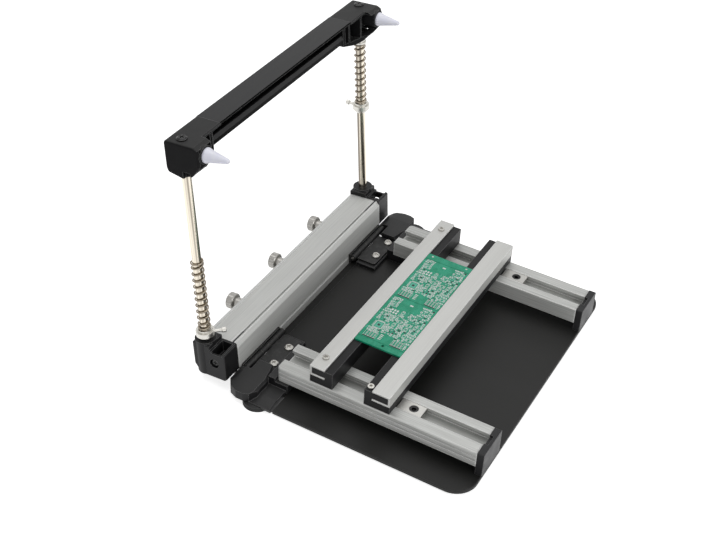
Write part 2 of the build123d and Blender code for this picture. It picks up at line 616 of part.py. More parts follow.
def make_crossbar():
    n0, n1, t1, w = CROSS_N0, CROSS_N1, CROSS_T1, BEAM_WALL
    plate_t = t1 - CROSS_PLATE
    beam = [(BEAM_SLOT_N, BEAM_SLOT_T), (BEAM_N0 + 1.0, BEAM_SLOT_T), (BEAM_N0, BEAM_LIP_T),
            (BEAM_N0, BEAM_T0 + 2.5), (BEAM_N0 + 2.5, BEAM_T0), (n1 - 1.0, BEAM_T0), (n1, BEAM_T0 + 1.0)]
    plate = [(n1, t1 - 0.8), (n1 - 0.8, t1), (n0 + 1.2, t1), (n0, t1 - 1.0), (n0, plate_t),
             (BEAM_SLOT_N, plate_t)]
    section = beam + plate
    bar = prism_x(upright(section), -CROSS_X, CROSS_X)
    hollow = [(BEAM_N0 + w, BEAM_T0 + w + 1.6), (BEAM_N0 + w + 1.6, BEAM_T0 + w), (n1 - w, BEAM_T0 + w),
              (n1 - w, plate_t - 0.4), (BEAM_SLOT_N + w, plate_t - 0.4), (BEAM_SLOT_N + w, BEAM_SLOT_T - w),
              (BEAM_N0 + w, BEAM_SLOT_T - w)]
    bar -= prism_x(upright(hollow), -CROSS_X - 1, CROSS_X + 1)
    save("crossbar", leaned(bar))

    for side, name in ((1, "right"), (-1, "left")):
        header = make_header(side)
        if side < 0:
            header = mirrored(header)
        save(name + "_crossbar_block", leaned(header))
    bush = rod_z(ROD_X, up_y(0), up_z(BUSH_T0), up_z(BUSH_T1), BUSH_R)
    bush += rod_z(ROD_X, up_y(0), up_z(BUSH_T0), up_z(BUSH_T0 + BUSH_FLANGE), BUSH_FLANGE_R)
    bush -= rod_z(ROD_X, up_y(0), 0, 400, ROD_R + FIT)
    save("right_bush", leaned(bush))

    screw = Pos(ROD_X, up_y(0), up_z(t1) + SEAT) * Rot(0, 0, 10) * pan_screw(3.0, head_r=4.4, head_h=2.0)
    save("crossbar_screws", Compound(children=[leaned(screw), leaned(mirrored(screw))]))

    base_y, tip_y = up_y(FOOT_N0) - SEAT, up_y(FOOT_N1)
    length = base_y - tip_y
    profile = Polyline((0, 0), (FOOT_R, 0), (FOOT_R, 1.2), (FOOT_R * 0.86, 4.0),
                       (FOOT_TIP_R + 0.4, length - 1.2), (FOOT_TIP_R * 0.5, length), (0, length), close=True)
    cone = revolve(make_face(Plane.XZ * profile), axis=Axis.Z)
    foot = Pos(FOOT_X, base_y, up_z(FOOT_T)) * Rot(90, 0, 0) * cone
    both("cone_foot", leaned(foot))


def rounded_x(points, x0, x1, r, keep):
    """A section in Y and Z with the corners that keep(y) picks rounded, pulled along X."""
    face = make_face(Polyline(*[(x0, y, z) for y, z in points], close=True))
    corners = [v for v in face.vertices() if keep(v.Y)]
    return extrude(fillet(corners, r), amount=x1 - x0, dir=(1, 0, 0))


def rounded_rim(block, x, r):
    """A block with the edges of its outer face, at x, rounded."""
    return fillet([e for e in block.edges() if abs(e.center().X - x) < 0.01], r)


def make_header(side):
    """The hollow block on the end of the crossbar, open in front, drawn for the right side."""
    x0, x1, step = CROSS_X + SEAT, HEADER_X1, HEADER_STEP_X
    n0, n1, t1, w = HEADER_N0, HEADER_N1, CROSS_T1, HEADER_WALL
    belly = [(-11.1, 203.0), (-2.5, 199.4), (10.9, 202.3), (n1, 206.0), (n1, t1)]
    outer = [(n0 + 4.6, t1), (n0 + 0.8, t1 - 2.0), (n0, t1 - 5.0), (n0, 213.5)] + belly
    inner = [(CROSS_N0 + 1.2, t1), (CROSS_N0, t1 - 1.0), (CROSS_N0, 203.4)] + belly

    def back(y):
        return y > up_y(8)

    header = rounded_rim(rounded_x(upright(outer), step, x1, HEADER_ROUND, back), x1, HEADER_RIM_R)
    header += rounded_x(upright(inner), x0, step, HEADER_ROUND, back)
    # below the top plate the front turns in towards the beam, and the underside rises to it
    y_front = up_y(n0 - 8)
    slant = [(x0 - 1, up_y(BEAM_N0)), (x0, up_y(BEAM_N0)), (step - 1.5, up_y(CROSS_N0)),
             (step - 1.5, y_front), (x0 - 1, y_front)]
    header -= plan(slant, up_z(190), up_z(t1 - CROSS_PLATE))
    rise = [(x0 - 1, up_z(190)), (step + 4, up_z(190)), (step + 4, up_z(199.0)),
            (x0 - 1, up_z(BEAM_T0 - 1.2))]
    header -= prism_y(rise, y_front, up_y(n1 + 5))
    # hollow from the front, with the ribs left standing
    room = [(n1 - w, 210.0), (9.0, 206.0 + w), (-2.5, 203.6 + w), (-10.0, 204.6 + w), (n0 - 4, 207.5),
            (n0 - 4, t1 - w), (n1 - w, t1 - w)]
    cavity = prism_x(upright(room), x0 + w, x1 - w)
    for x in HEADER_RIBS:
        cavity -= box(x, x + 1.4, up_y(-30), up_y(20), up_z(190), up_z(t1))
    cavity -= rod_z(ROD_X, up_y(0), up_z(HEADER_BOSS_T), up_z(t1), HEADER_BOSS_R)
    boss = rod_y(FOOT_X, up_y(FOOT_N0), up_y(-6), up_z(FOOT_T), FOOT_R + 1.4) & box(
        x0, x1, up_y(-30), up_y(20), up_z(200), up_z(t1))
    header = header - (cavity - boss) + boss
    # a slot in the outer wall and one in the belly show the rod
    slot_y0, slot_y1 = (up_y(n) for n in HEADER_SLOT_N)
    header -= box(x1 - w - 1, x1 + 1, slot_y0, slot_y1, up_z(190), up_z(HEADER_SLOT_T))
    header -= box(ROD_X - ROD_R, ROD_X + ROD_R, slot_y0 - 9, up_y(0), up_z(190), up_z(BUSH_T1))
    bore_r = BUSH_R + SEAT if side > 0 else ROD_R + FIT
    header -= rod_z(ROD_X, up_y(0), up_z(190), up_z(HEADER_BOSS_T - 0.5), bore_r)
    header -= rod_z(ROD_X, up_y(0), up_z(190), up_z(HEADER_BORE_T), ROD_R + FIT)
    header -= rod_z(ROD_X, up_y(0), up_z(HEADER_BORE_T - 1), up_z(t1 + 1), SHANK_R + FIT)
    return header


def clamp_channel(y_back, y_open):
    """A C of aluminium, its back at y_back and its mouth towards y_open."""
    side = 1 if y_open > y_back else -1
    z0, z1, w = CLAMP_TOP - CHANNEL_H, CLAMP_TOP, CHANNEL_WALL
    section = [(y_back, z0), (y_open, z0), (y_open, z0 + w), (y_back + side * w, z0 + w),
               (y_back + side * w, z1 - w), (y_open, z1 - w), (y_open, z1), (y_back, z1)]
    return prism_x(section, -CLAMP_X, CLAMP_X)


def clamp_insert(y_back, y_open):
    """The moulded bar inside the channel, with the ledge that carries the board and the rail tongues."""
    side = 1 if y_open > y_back else -1
    z0, z1, w = CLAMP_TOP - CHANNEL_H, CLAMP_TOP - BOARD_T - 0.2, CHANNEL_WALL
    ledge = y_open + side * LEDGE
    bottom = RAIL_Z1 + INSERT_LIFT
    inner = y_back + side * (w + 0.1)
    x1 = CLAMP_X - 0.5
    section = [(inner, z0 + w + 0.1), (inner, z1 - 0.1), (ledge, z1 - 0.1), (ledge, bottom), (y_back, bottom),
               (y_back, z0 - 0.1), (y_open + side * 0.1, z0 - 0.1), (y_open + side * 0.1, z0 + w + 0.1)]
    bar = prism_x(section, -x1, x1)
    mid = (y_back + y_open) / 2
    for s in (-1, 1):
        bar += box(s * (SLOT_X0 + GAP), s * (SLOT_X1 - GAP), mid - TONGUE_L / 2, mid + TONGUE_L / 2,
                   RAIL_Z1 - SLOT_LIP - 1, bottom + 1)
        bar += box(s * (SLOT_X0 - NUT_WING), s * (SLOT_X1 + NUT_WING),
                   mid - TONGUE_L / 2, mid + TONGUE_L / 2,
                   RAIL_Z1 - SLOT_DEPTH + GAP, RAIL_Z1 - SLOT_LIP - GAP)
    # lightening pockets in the underside between the rails
    y_a, y_b = sorted((y_back + side * 3, ledge - side * 2.5))
    for k in range(5):
        x = (k - 2) * 32.0
        bar -= box(x - 13, x + 13, y_a, y_b, bottom - 1, bottom + 4.5)
    return bar


def socket_screw(r, h, length):
    head = Cylinder(r, h, align=(Align.CENTER, Align.CENTER, Align.MIN))
    head = chamfer(head.edges().group_by(Axis.Z)[-1], 0.35)
    head -= Pos(0, 0, h) * extrude(RegularPolygon(r * 0.5, 6), amount=-h * 0.7)
    return head + Pos(0, 0, -length / 2) * Cylinder(r * 0.5, length)


def make_clamps():
    for name, (back, mouth), screw_y, screw_z in (
            ("rear", (REAR_CLAMP_Y[1], REAR_CLAMP_Y[0]), sum(REAR_CLAMP_Y) / 2, CLAMP_TOP),
            ("front", FRONT_CLAMP_Y, FRONT_CLAMP_Y[1] + LEDGE * 0.55, CLAMP_TOP - BOARD_T - 0.3)):
        channel = clamp_channel(back, mouth)
        insert = clamp_insert(back, mouth)
        screws = []
        for x in CLAMP_SCREWS[name]:
            bore = rod_z(x, screw_y, screw_z - CLAMP_SCREW_L - 1, screw_z + 1, CLAMP_SCREW_R + FIT)
            channel -= bore
            insert -= bore
            screw = socket_screw(2 * CLAMP_SCREW_R, 1.8, CLAMP_SCREW_L)
            screws.append(Pos(x, screw_y, screw_z + SEAT) * screw)
        save(name + "_clamp_channel", channel)
        save(name + "_clamp_insert", insert)
        save(name + "_clamp_screws", Compound(children=screws))
    lip_z, floor_z = RAIL_Z1 - SLOT_LIP, RAIL_Z1 - SLOT_DEPTH
    nut = box(SLOT_X0 + GAP, SLOT_X1 - GAP, NUT_Y0, NUT_Y1, lip_z - 1, RAIL_Z1 - 0.4)
    nut += box(SLOT_X0 - NUT_WING, SLOT_X1 + NUT_WING, NUT_Y0 + 2, NUT_Y1, floor_z + GAP, lip_z - GAP)
    nut -= rod_z(SLOT_MID, GRUB_Y, RAIL_Z0, RAIL_Z1 + 2, GRUB_R + FIT)
    both("slot_nut", nut)
    grub = rod_z(SLOT_MID, GRUB_Y, RAIL_Z1 - SLOT_DEPTH + GAP, RAIL_Z1 - 0.8, GRUB_R)
    grub -= Pos(SLOT_MID, GRUB_Y, RAIL_Z1) * extrude(RegularPolygon(GRUB_HEX_R, 6), amount=-4.0)
    both("grub_screw", grub)


def make_board():
    y0, y1 = FRONT_CLAMP_Y[1] + GAP, REAR_CLAMP_Y[0] - GAP
    z1 = CLAMP_TOP - 0.2
    left, right = BOARD_X
    board = box(left, right, y0, y1, z1 - BOARD_T, z1)
    board -= rod_z(left + BOARD_HOLE_IN, (y0 + y1) / 2 - 3, 0, 90, BOARD_HOLE_R)
    # shallow lines where the panel breaks into its boards
    for x in BOARD_SCORES:
        middle = left + x
        board -= box(middle - SCORE_W / 2, middle + SCORE_W / 2, y0 - 1, y1 + 1, z1 - SCORE_DEPTH, z1 + 1)
    save("circuit_board", board)


os.makedirs(PARTS, exist_ok=True)
make_base()
make_rails()
make_corners()
make_hinge_blocks()
make_hinges()
make_clamp_bar()
make_end_blocks()
make_collars()
make_crossbar()
make_clamps()
make_board()
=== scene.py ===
"""Studio scene of a manual stencil printer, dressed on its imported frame.

Each sub-assembly is a class that gives its pieces their finishes and builds the fine details that
the frame leaves to the looks. All lengths are metres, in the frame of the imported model.
"""
import logging
import math
import random
from abc import ABC, abstractmethod
from dataclasses import dataclass, field
from enum import Enum
from typing import Any, Iterable, Sequence

import bmesh
import bpy
from mathutils import Matrix, Vector

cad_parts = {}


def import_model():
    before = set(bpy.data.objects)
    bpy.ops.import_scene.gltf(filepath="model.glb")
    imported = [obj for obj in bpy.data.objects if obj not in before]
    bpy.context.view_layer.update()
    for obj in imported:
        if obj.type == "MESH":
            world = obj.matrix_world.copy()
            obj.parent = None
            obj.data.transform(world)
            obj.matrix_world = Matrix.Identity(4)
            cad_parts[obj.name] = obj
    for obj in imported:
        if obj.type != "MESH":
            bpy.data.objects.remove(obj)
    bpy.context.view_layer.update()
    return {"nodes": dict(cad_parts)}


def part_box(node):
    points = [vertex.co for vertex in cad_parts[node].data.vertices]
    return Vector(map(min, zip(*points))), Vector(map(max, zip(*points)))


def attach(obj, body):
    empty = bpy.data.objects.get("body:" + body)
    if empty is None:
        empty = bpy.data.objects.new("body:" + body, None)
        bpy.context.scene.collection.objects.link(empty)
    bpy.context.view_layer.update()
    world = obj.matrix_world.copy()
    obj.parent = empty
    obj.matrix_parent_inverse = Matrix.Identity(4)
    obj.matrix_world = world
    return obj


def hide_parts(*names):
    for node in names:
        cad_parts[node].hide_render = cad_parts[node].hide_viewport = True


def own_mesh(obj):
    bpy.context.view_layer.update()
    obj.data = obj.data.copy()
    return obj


LOG = logging.getLogger("stencil_printer")
MM = 0.001
PHOTO_WIDTH_PX = 716

# Degrees by which the open stencil frame leans to the rear.
FRAME_LEAN = 4.05
# Least part of a face's normal along the way that it looks.
FACING = 0.9
# Rays that a softened edge takes.
BEVEL_SAMPLES = 4

Colour = tuple[float, float, float]
Point = tuple[float, float, float]
Pair = tuple[float, float]

# Parts of a noise pattern's range that a finish uses.
WIDE_CUT: Pair = (0.2, 0.8)
MIDDLE_CUT: Pair = (0.25, 0.75)
SOFT_CUT: Pair = (0.3, 0.7)


class Side(Enum):
    """Side of the machine, seen from the operator."""

    LEFT = "left"
    RIGHT = "right"


class Grain(Enum):
    """Direction in which an extrusion's die lines or a bar's turning marks run."""

    ACROSS = (0.02, 1.0, 1.0)
    ALONG = (1.0, 0.02, 1.0)
    ROUND = (0.06, 0.06, 1.0)
    NONE = (1.0, 1.0, 1.0)


def display(*screen: int) -> Colour:
    """Turn a colour as a screen shows it into the linear colour that a shader takes.

    Args:
        screen: Red, green and blue, from 0 to 255.

    Returns:
        The same colour with linear parts from 0 to 1.
    """
    knee, straight, offset = 0.04045, 12.92, 0.055
    return tuple(share / straight if share <= knee else ((share + offset) / (1.0 + offset)) ** 2.4
                 for share in (value / 255.0 for value in screen))


def show(piece: bpy.types.Object) -> None:
    """Put an object into the scene."""
    bpy.context.scene.collection.objects.link(piece)


def shaded(colour: Colour, factor: float) -> Colour:
    """Make a linear colour lighter or darker by a factor."""
    return tuple(factor * part for part in colour)


class ShaderSheet:
    """A node material under construction, with its patterns on Object coordinates."""

    def __init__(self, name: str) -> None:
        """Start a material with a Principled shader.

        Args:
            name: Name of the material.
        """
        self.material = bpy.data.materials.new(name)
        self.material.use_nodes = True
        tree = self.material.node_tree
        self.nodes = tree.nodes
        self.links = tree.links
        self.shader = tree.nodes["Principled BSDF"]
        self.place = tree.nodes.new("ShaderNodeTexCoord").outputs["Object"]

    def level(self, **values: Any) -> None:
        """Set numbers or colours that are the same all over on the shader's own sockets.

        Args:
            values: Socket names in lower case with _ for spaces, and their values.
        """
        for socket in self.shader.inputs:
            key = socket.name.lower().replace(" ", "_")
            if key in values:
                value = values[key]
                socket.default_value = (*value, 1.0) if socket.type == "RGBA" else value

    def stretched(self, stretch: Sequence[float]) -> Any:
        """Scale the Object coordinates.

        Args:
            stretch: Factor on X, Y and Z.

        Returns:
            The coordinate socket.
        """
        mapping = self.nodes.new("ShaderNodeMapping")
        mapping.inputs["Scale"].default_value = tuple(stretch)
        self.links.new(self.place, mapping.inputs["Vector"])
        return mapping.outputs["Vector"]

    def cloud(self, place: Any, size: float, detail: float) -> Any:
        """Make a cloudy pattern on given coordinates.

        Args:
            place: Coordinate socket.
            size: Size of its patches in metres.
            detail: Octaves of finer pattern.

        Returns:
            A socket from 0 to 1.
        """
        node = self.nodes.new("ShaderNodeTexNoise")
        node.inputs["Scale"].default_value = 1.0 / size
        node.inputs["Detail"].default_value = detail
        self.links.new(place, node.inputs["Vector"])
        return node.outputs["Fac"]

    def noise(self, size: float, detail: float = 2.0, stretch: Sequence[float] = Grain.NONE.value) -> Any:
        """Make a cloudy pattern on the Object coordinates, drawn out where stretch is below 1."""
        return self.cloud(self.stretched(stretch), size, detail)

    def drawn(self, size: float, tilt: float, length: float = 120.0, detail: float = 1.5) -> Any:
        """Make streaks along an upright that leans.

        Args:
            size: Width of a streak in metres.
            tilt: How far the upright leans to the rear, in degrees.
            length: Length of a streak, in widths.
            detail: Octaves of finer pattern.

        Returns:
            A socket from 0 to 1.
        """
        mapping = self.nodes.new("ShaderNodeMapping")
        mapping.vector_type = "TEXTURE"
        mapping.inputs["Rotation"].default_value = (-math.radians(tilt), 0.0, 0.0)
        mapping.inputs["Scale"].default_value = (1.0, 1.0, length)
        self.links.new(self.place, mapping.inputs["Vector"])
        return self.cloud(mapping.outputs["Vector"], size, detail)

    def upward(self) -> Any:
        """Tell how far a face looks up in the piece's own frame.

        Returns:
            A socket from -1, down, to 1, up.
        """
        split = self.nodes.new("ShaderNodeSeparateXYZ")
        self.links.new(self.place.node.outputs["Normal"], split.inputs["Vector"])
        return split.outputs["Z"]

    def remap(self, value: Any, start: Pair, end: Pair) -> Any:
        """Map one range of a value to another.

        Args:
            value: Socket to read.
            start: Range read.
            end: Range written.

        Returns:
            The mapped socket.
        """
        node = self.nodes.new("ShaderNodeMapRange")
        for key, number in zip(("From Min", "From Max", "To Min", "To Max"), (*start, *end)):
            node.inputs[key].default_value = number
        self.links.new(value, node.inputs["Value"])
        return node.outputs["Result"]

    def mix(self, factor: Any, first: Colour | Any, second: Colour | Any) -> Any:
        """Mix two colours.

        Args:
            factor: Socket from 0, the first, to 1, the second.
            first: Colour or socket.
            second: Colour or socket.

        Returns:
            The mixed colour socket.
        """
        node = self.nodes.new("ShaderNodeMix")
        node.data_type = "RGBA"
        self.links.new(factor, node.inputs[0])
        for socket, value in ((node.inputs[6], first), (node.inputs[7], second)):
            if isinstance(value, tuple):
                socket.default_value = (*value, 1.0)
            else:
                self.links.new(value, socket)
        return node.outputs[2]

    def blend(self, pattern: Any, cut: Pair, share: float, first: Colour | Any,
              second: Colour | Any) -> Any:
        """Blend two colours, or sockets, over a part of a pattern's range, up to a share of the second."""
        return self.mix(self.remap(pattern, cut, (0.0, share)), first, second)

    def paint(self, tone: Any, edge: float, edge_colour: Colour) -> None:
        """Colour the shader with a tone, and with another colour along its sharp edges."""
        self.drive("Base Color", self.mix(self.edge_wear_and_highlight(edge), tone, edge_colour))

    def roughen(self, pattern: Any, cut: Pair, roughness: Pair) -> None:
        """Let a part of a pattern's range drive the roughness from one value to another."""
        self.drive("Roughness", self.remap(pattern, cut, roughness))

    def soft_normal(self, radius: float) -> Any:
        """Give the surface's normal with its sharp edges rounded.

        Args:
            radius: Radius of the rounding in metres.

        Returns:
            The normal socket.
        """
        bevel = self.nodes.new("ShaderNodeBevel")
        bevel.samples = BEVEL_SAMPLES
        bevel.inputs["Radius"].default_value = radius
        return bevel.outputs["Normal"]

    def edge_wear_and_highlight(self, radius: float, cosines: Pair = (0.985, 0.85)) -> Any:
        """Find the sharp edges, where some finishes wear and others get a painted highlight.

        Args:
            radius: How far from an edge it counts, in metres.
            cosines: Cosines of the normal's turn where an edge begins and is full.

        Returns:
            A socket, 0 on flat faces and near 1 on edges.
        """
        geometry = self.nodes.new("ShaderNodeNewGeometry")
        dot = self.nodes.new("ShaderNodeVectorMath")
        dot.operation = "DOT_PRODUCT"
        self.links.new(self.soft_normal(radius), dot.inputs[0])
        self.links.new(geometry.outputs["Normal"], dot.inputs[1])
        return self.remap(dot.outputs["Value"], cosines, (0.0, 1.0))

    def relief(self, height: Any, depth: float, strength: float = 1.0, edge: float = 0.0) -> None:
        """Give the surface a fine relief and soft edges.

        Args:
            height: Socket of the relief, 0 to 1.
            depth: Height of the relief in metres.
            strength: Share of the relief that shows.
            edge: Radius of the softened edges in metres, 0 for none.
        """
        bump = self.nodes.new("ShaderNodeBump")
        bump.inputs["Distance"].default_value = depth
        bump.inputs["Strength"].default_value = strength
        self.links.new(height, bump.inputs["Height"])
        if edge:
            self.links.new(self.soft_normal(edge), bump.inputs["Normal"])
        self.drive("Normal", bump.outputs["Normal"])

    def drive(self, socket: str, value: Any) -> None:
        """Let a pattern drive a socket of the shader."""
        self.links.new(value, self.shader.inputs[socket])


@dataclass(frozen=True)
class Finish(ABC):
    """A finish that a piece can be given. Its material is made once."""

    name: str

    @property
    @abstractmethod
    def slot(self) -> str:
        """The material slot that the finish belongs to."""

    @abstractmethod
    def draw(self, sheet: ShaderSheet) -> None:
        """Lay out the finish's nodes.

        Args:
            sheet: Sheet to fill.
        """

    def material(self) -> bpy.types.Material:
        """Give the finish's material, which is made at the first call.

        Returns:
            The material.
        """
        found = bpy.data.materials.get(self.name)
        if found:
            return found
        sheet = ShaderSheet(self.name)
        self.draw(sheet)
        return sheet.material


@dataclass(frozen=True)
class Extrusion(Finish):
    """Satin anodised aluminium with die lines along its length and a painted highlight on its edges."""

    grain: Grain
    colour: Colour = display(200, 201, 198)
    shade: Colour = display(180, 181, 178)
    metallic: float = 0.3
    edge: float = 1.2 * MM
    edge_colour: Colour = display(255, 255, 253)
    roughness: Pair = (0.38, 0.52)
    slot: str = "aluminium"

    def draw(self, sheet: ShaderSheet) -> None:
        """Make streaked satin metal with soft edges that a painted highlight makes lighter.

        Args:
            sheet: Sheet to fill.
        """
        fine = sheet.noise(size=0.9 * MM, detail=3.0, stretch=self.grain.value)
        broad = sheet.noise(size=9 * MM, stretch=self.grain.value)
        streaks = sheet.blend(fine, SOFT_CUT, 1.0, self.shade, self.colour)
        tone = sheet.blend(broad, MIDDLE_CUT, 0.5, streaks, self.colour)
        # Painted highlight: the edges are coloured near white.
        sheet.paint(tone, self.edge, self.edge_colour)
        sheet.roughen(fine, WIDE_CUT, self.roughness)
        sheet.level(metallic=self.metallic, specular_ior_level=0.5)
        sheet.relief(fine, depth=0.03 * MM, strength=0.35, edge=self.edge)


@dataclass(frozen=True)
class PowderCoat(Finish):
    """Matte black powder coat with a fine orange peel."""

    colour: Colour = display(23, 23, 22)
    smear_colour: Colour = display(30, 30, 29)
    edge: float = 0.4 * MM
    edge_colour: Colour = display(80, 80, 80)
    roughness: Pair = (0.42, 0.54)
    slot: str = "plate_black"

    def draw(self, sheet: ShaderSheet) -> None:
        """Make a dark coat with a fine peel, faint smears and thin edges.

        Args:
            sheet: Sheet to fill.
        """
        peel = sheet.noise(size=0.8 * MM)
        smears = sheet.noise(size=45 * MM, detail=3.0, stretch=(1.0, 0.5, 1.0))
        tone = sheet.blend(smears, SOFT_CUT, 0.5, self.colour, self.smear_colour)
        sheet.paint(tone, self.edge, self.edge_colour)
        sheet.roughen(smears, MIDDLE_CUT, self.roughness)
        sheet.level(specular_ior_level=0.25)
        sheet.relief(peel, depth=0.05 * MM, strength=0.3, edge=self.edge)


@dataclass(frozen=True)
class Moulding(Finish):
    """Glass-filled black moulding with a spark-eroded grain, painted light on the faces that look up, and
    painted highlights on its edges.
    """

    colour: Colour = display(25, 25, 26)
    # Colour of the painted highlight along the edges.
    edge_colour: Colour = display(118, 118, 118)
    edge: float = 0.9 * MM
    # Paler colour painted on faces that look up, as light from above falls, its share, and how far up a
    # face looks where it starts and is full.
    dust_and_sheen_colour: Colour = display(63, 63, 63)
    dust_and_sheen: float = 0.0
    top_lit_faces: Pair = (0.5, 0.95)
    gloss: float = 0.2
    roughness: Pair = (0.36, 0.48)
    slot: str = "moulded_black"

    def draw(self, sheet: ShaderSheet) -> None:
        """Make a dark grained plastic with painted highlights on its edges, painted light on its upward
        faces where set, and a little bloom.

        Args:
            sheet: Sheet to fill.
        """
        grain = sheet.noise(size=0.35 * MM)
        bloom = sheet.noise(size=11 * MM, detail=3.0)
        tone = sheet.blend(bloom, (0.35, 0.7), 0.6, self.colour, shaded(self.colour, 1.5))
        # Painted light: faces that look up are lightened towards a paler colour.
        if self.dust_and_sheen:
            tone = sheet.blend(sheet.upward(), self.top_lit_faces, self.dust_and_sheen, tone, self.dust_and_sheen_colour)
        sheet.paint(tone, self.edge, self.edge_colour)
        sheet.roughen(bloom, SOFT_CUT, self.roughness)
        sheet.level(specular_ior_level=self.gloss)
        sheet.relief(grain, depth=0.05 * MM, strength=0.45, edge=1.0 * MM)


@dataclass(frozen=True)
class BlackAnodised(Finish):
    """Satin black anodised aluminium with drawn lines."""

    colour: Colour = display(28, 28, 29)
    gloss: float = 0.2
    edge: float = 0.4 * MM
    edge_colour: Colour = display(120, 120, 120)
    roughness: Pair = (0.3, 0.42)
    slot: str = "bar_black"

    def draw(self, sheet: ShaderSheet) -> None:
        """Make a dark satin metal with faint lines along X and a painted highlight on its edges.

        Args:
            sheet: Sheet to fill.
        """
        lines = sheet.noise(size=0.7 * MM, stretch=Grain.ACROSS.value)
        tone = sheet.blend(lines, SOFT_CUT, 0.4, self.colour, shaded(self.colour, 1.3))
        # Painted highlight: the edges are coloured paler.
        sheet.paint(tone, self.edge, self.edge_colour)
        sheet.roughen(lines, WIDE_CUT, self.roughness)
        sheet.level(specular_ior_level=self.gloss)
        sheet.relief(lines, depth=0.03 * MM, strength=0.3, edge=0.35 * MM)


@dataclass(frozen=True)
class Plated(Finish):
    """Bright plated or polished steel."""

    colour: Colour = display(214, 208, 198)
    roughness: float = 0.16
    grain: Grain = Grain.NONE
    slot: str = "plated"

    def draw(self, sheet: ShaderSheet) -> None:
        """Make a polished metal with hairline marks and small dull spots.

        Args:
            sheet: Sheet to fill.
        """
        hair = sheet.noise(size=0.5 * MM, stretch=self.grain.value)
        dull = sheet.noise(size=6 * MM, detail=3.0)
        tone = sheet.blend(dull, (0.35, 0.75), 0.5, self.colour, shaded(self.colour, 0.8))
        sheet.drive("Base Color", tone)
        sheet.roughen(hair, WIDE_CUT, (self.roughness * 0.8, self.roughness * 1.5))
        sheet.level(metallic=1.0)
        sheet.relief(hair, depth=0.01 * MM, strength=0.3, edge=0.2 * MM)


@dataclass(frozen=True)
class GroundRod(Finish):
    """Bright ground rod, nickel plated, with long streaks of painted reflection."""

    tilt: float
    colour: Colour = display(232, 224, 208)
    reflection_streak: Colour = display(124, 116, 106)
    roughness: Pair = (0.12, 0.26)
    slot: str = "plated"

    def draw(self, sheet: ShaderSheet) -> None:
        """Make a bright metal with a painted reflection of bright and dark streaks along its length.

        Args:
            sheet: Sheet to fill.
        """
        streaks = sheet.drawn(3.4 * MM, self.tilt)
        fine = sheet.drawn(0.5 * MM, self.tilt)
        # Painted reflection: dark streaks along the rod stand in for dark surroundings that it reflects.
        sheet.drive("Base Color", sheet.blend(streaks, (0.4, 0.56), 1.0, self.reflection_streak, self.colour))
        sheet.roughen(fine, WIDE_CUT, self.roughness)
        sheet.level(metallic=1.0)
        sheet.relief(fine, depth=0.02 * MM, strength=0.3)


@dataclass(frozen=True)
class BlackOxide(Finish):
    """Blackened steel of the hinges and black screws."""

    colour: Colour = display(40, 40, 40)
    rubbed_colour: Colour = display(70, 70, 69)
    edge: float = 0.4 * MM
    edge_colour: Colour = display(120, 120, 118)
    roughness: float = 0.42
    slot: str = "hinge_black"

    def draw(self, sheet: ShaderSheet) -> None:
        """Make a dark steel whose edges are lighter: rubbed bright, and partly a painted highlight.

        Args:
            sheet: Sheet to fill.
        """
        grain = sheet.noise(size=0.6 * MM, detail=3.0)
        rubbed = sheet.noise(size=5 * MM, detail=4.0)
        tone = sheet.blend(rubbed, (0.5, 0.8), 0.7, self.colour, self.rubbed_colour)
        # Edges: rubbed steel, and partly a painted highlight.
        sheet.paint(tone, self.edge, self.edge_colour)
        sheet.roughen(grain, WIDE_CUT, (0.8 * self.roughness, 1.2 * self.roughness))
        sheet.level(metallic=0.5)
        sheet.relief(grain, depth=0.02 * MM, strength=0.5, edge=0.25 * MM)


@dataclass(frozen=True)
class Rubber(Finish):
    """Matte black rubber of the pads and feet."""

    colour: Colour = display(26, 26, 26)
    dust_and_sheen_colour: Colour = display(58, 58, 57)
    roughness: Pair = (0.6, 0.8)
    slot: str = "pad_rubber"

    def draw(self, sheet: ShaderSheet) -> None:
        """Make a dull rubber with dust in its grain.

        Args:
            sheet: Sheet to fill.
        """
        dust_and_sheen = sheet.noise(size=2.5 * MM, detail=4.0)
        sheet.drive("Base Color", sheet.blend(dust_and_sheen, (0.4, 0.8), 0.5, self.colour, self.dust_and_sheen_colour))
        sheet.roughen(dust_and_sheen, WIDE_CUT, self.roughness)
        sheet.relief(dust_and_sheen, depth=0.08 * MM, strength=0.4, edge=0.4 * MM)


@dataclass(frozen=True)
class MilkyPlastic(Finish):
    """Milky white plastic of the cone feet."""

    colour: Colour = display(246, 246, 255)
    flow_colour: Colour = display(232, 233, 255)
    roughness: Pair = (0.28, 0.4)
    slot: str = "cone_white"

    def draw(self, sheet: ShaderSheet) -> None:
        """Make a plastic that lets some light through, with faint flow marks.

        Args:
            sheet: Sheet to fill.
        """
        flow = sheet.noise(size=5 * MM)
        sheet.drive("Base Color", sheet.mix(flow, self.colour, self.flow_colour))
        sheet.roughen(flow, WIDE_CUT, self.roughness)
        sheet.level(subsurface_weight=0.35, subsurface_scale=3 * MM, subsurface_radius=(1.0, 1.0, 1.0))
        sheet.relief(flow, depth=0.03 * MM, strength=0.3)


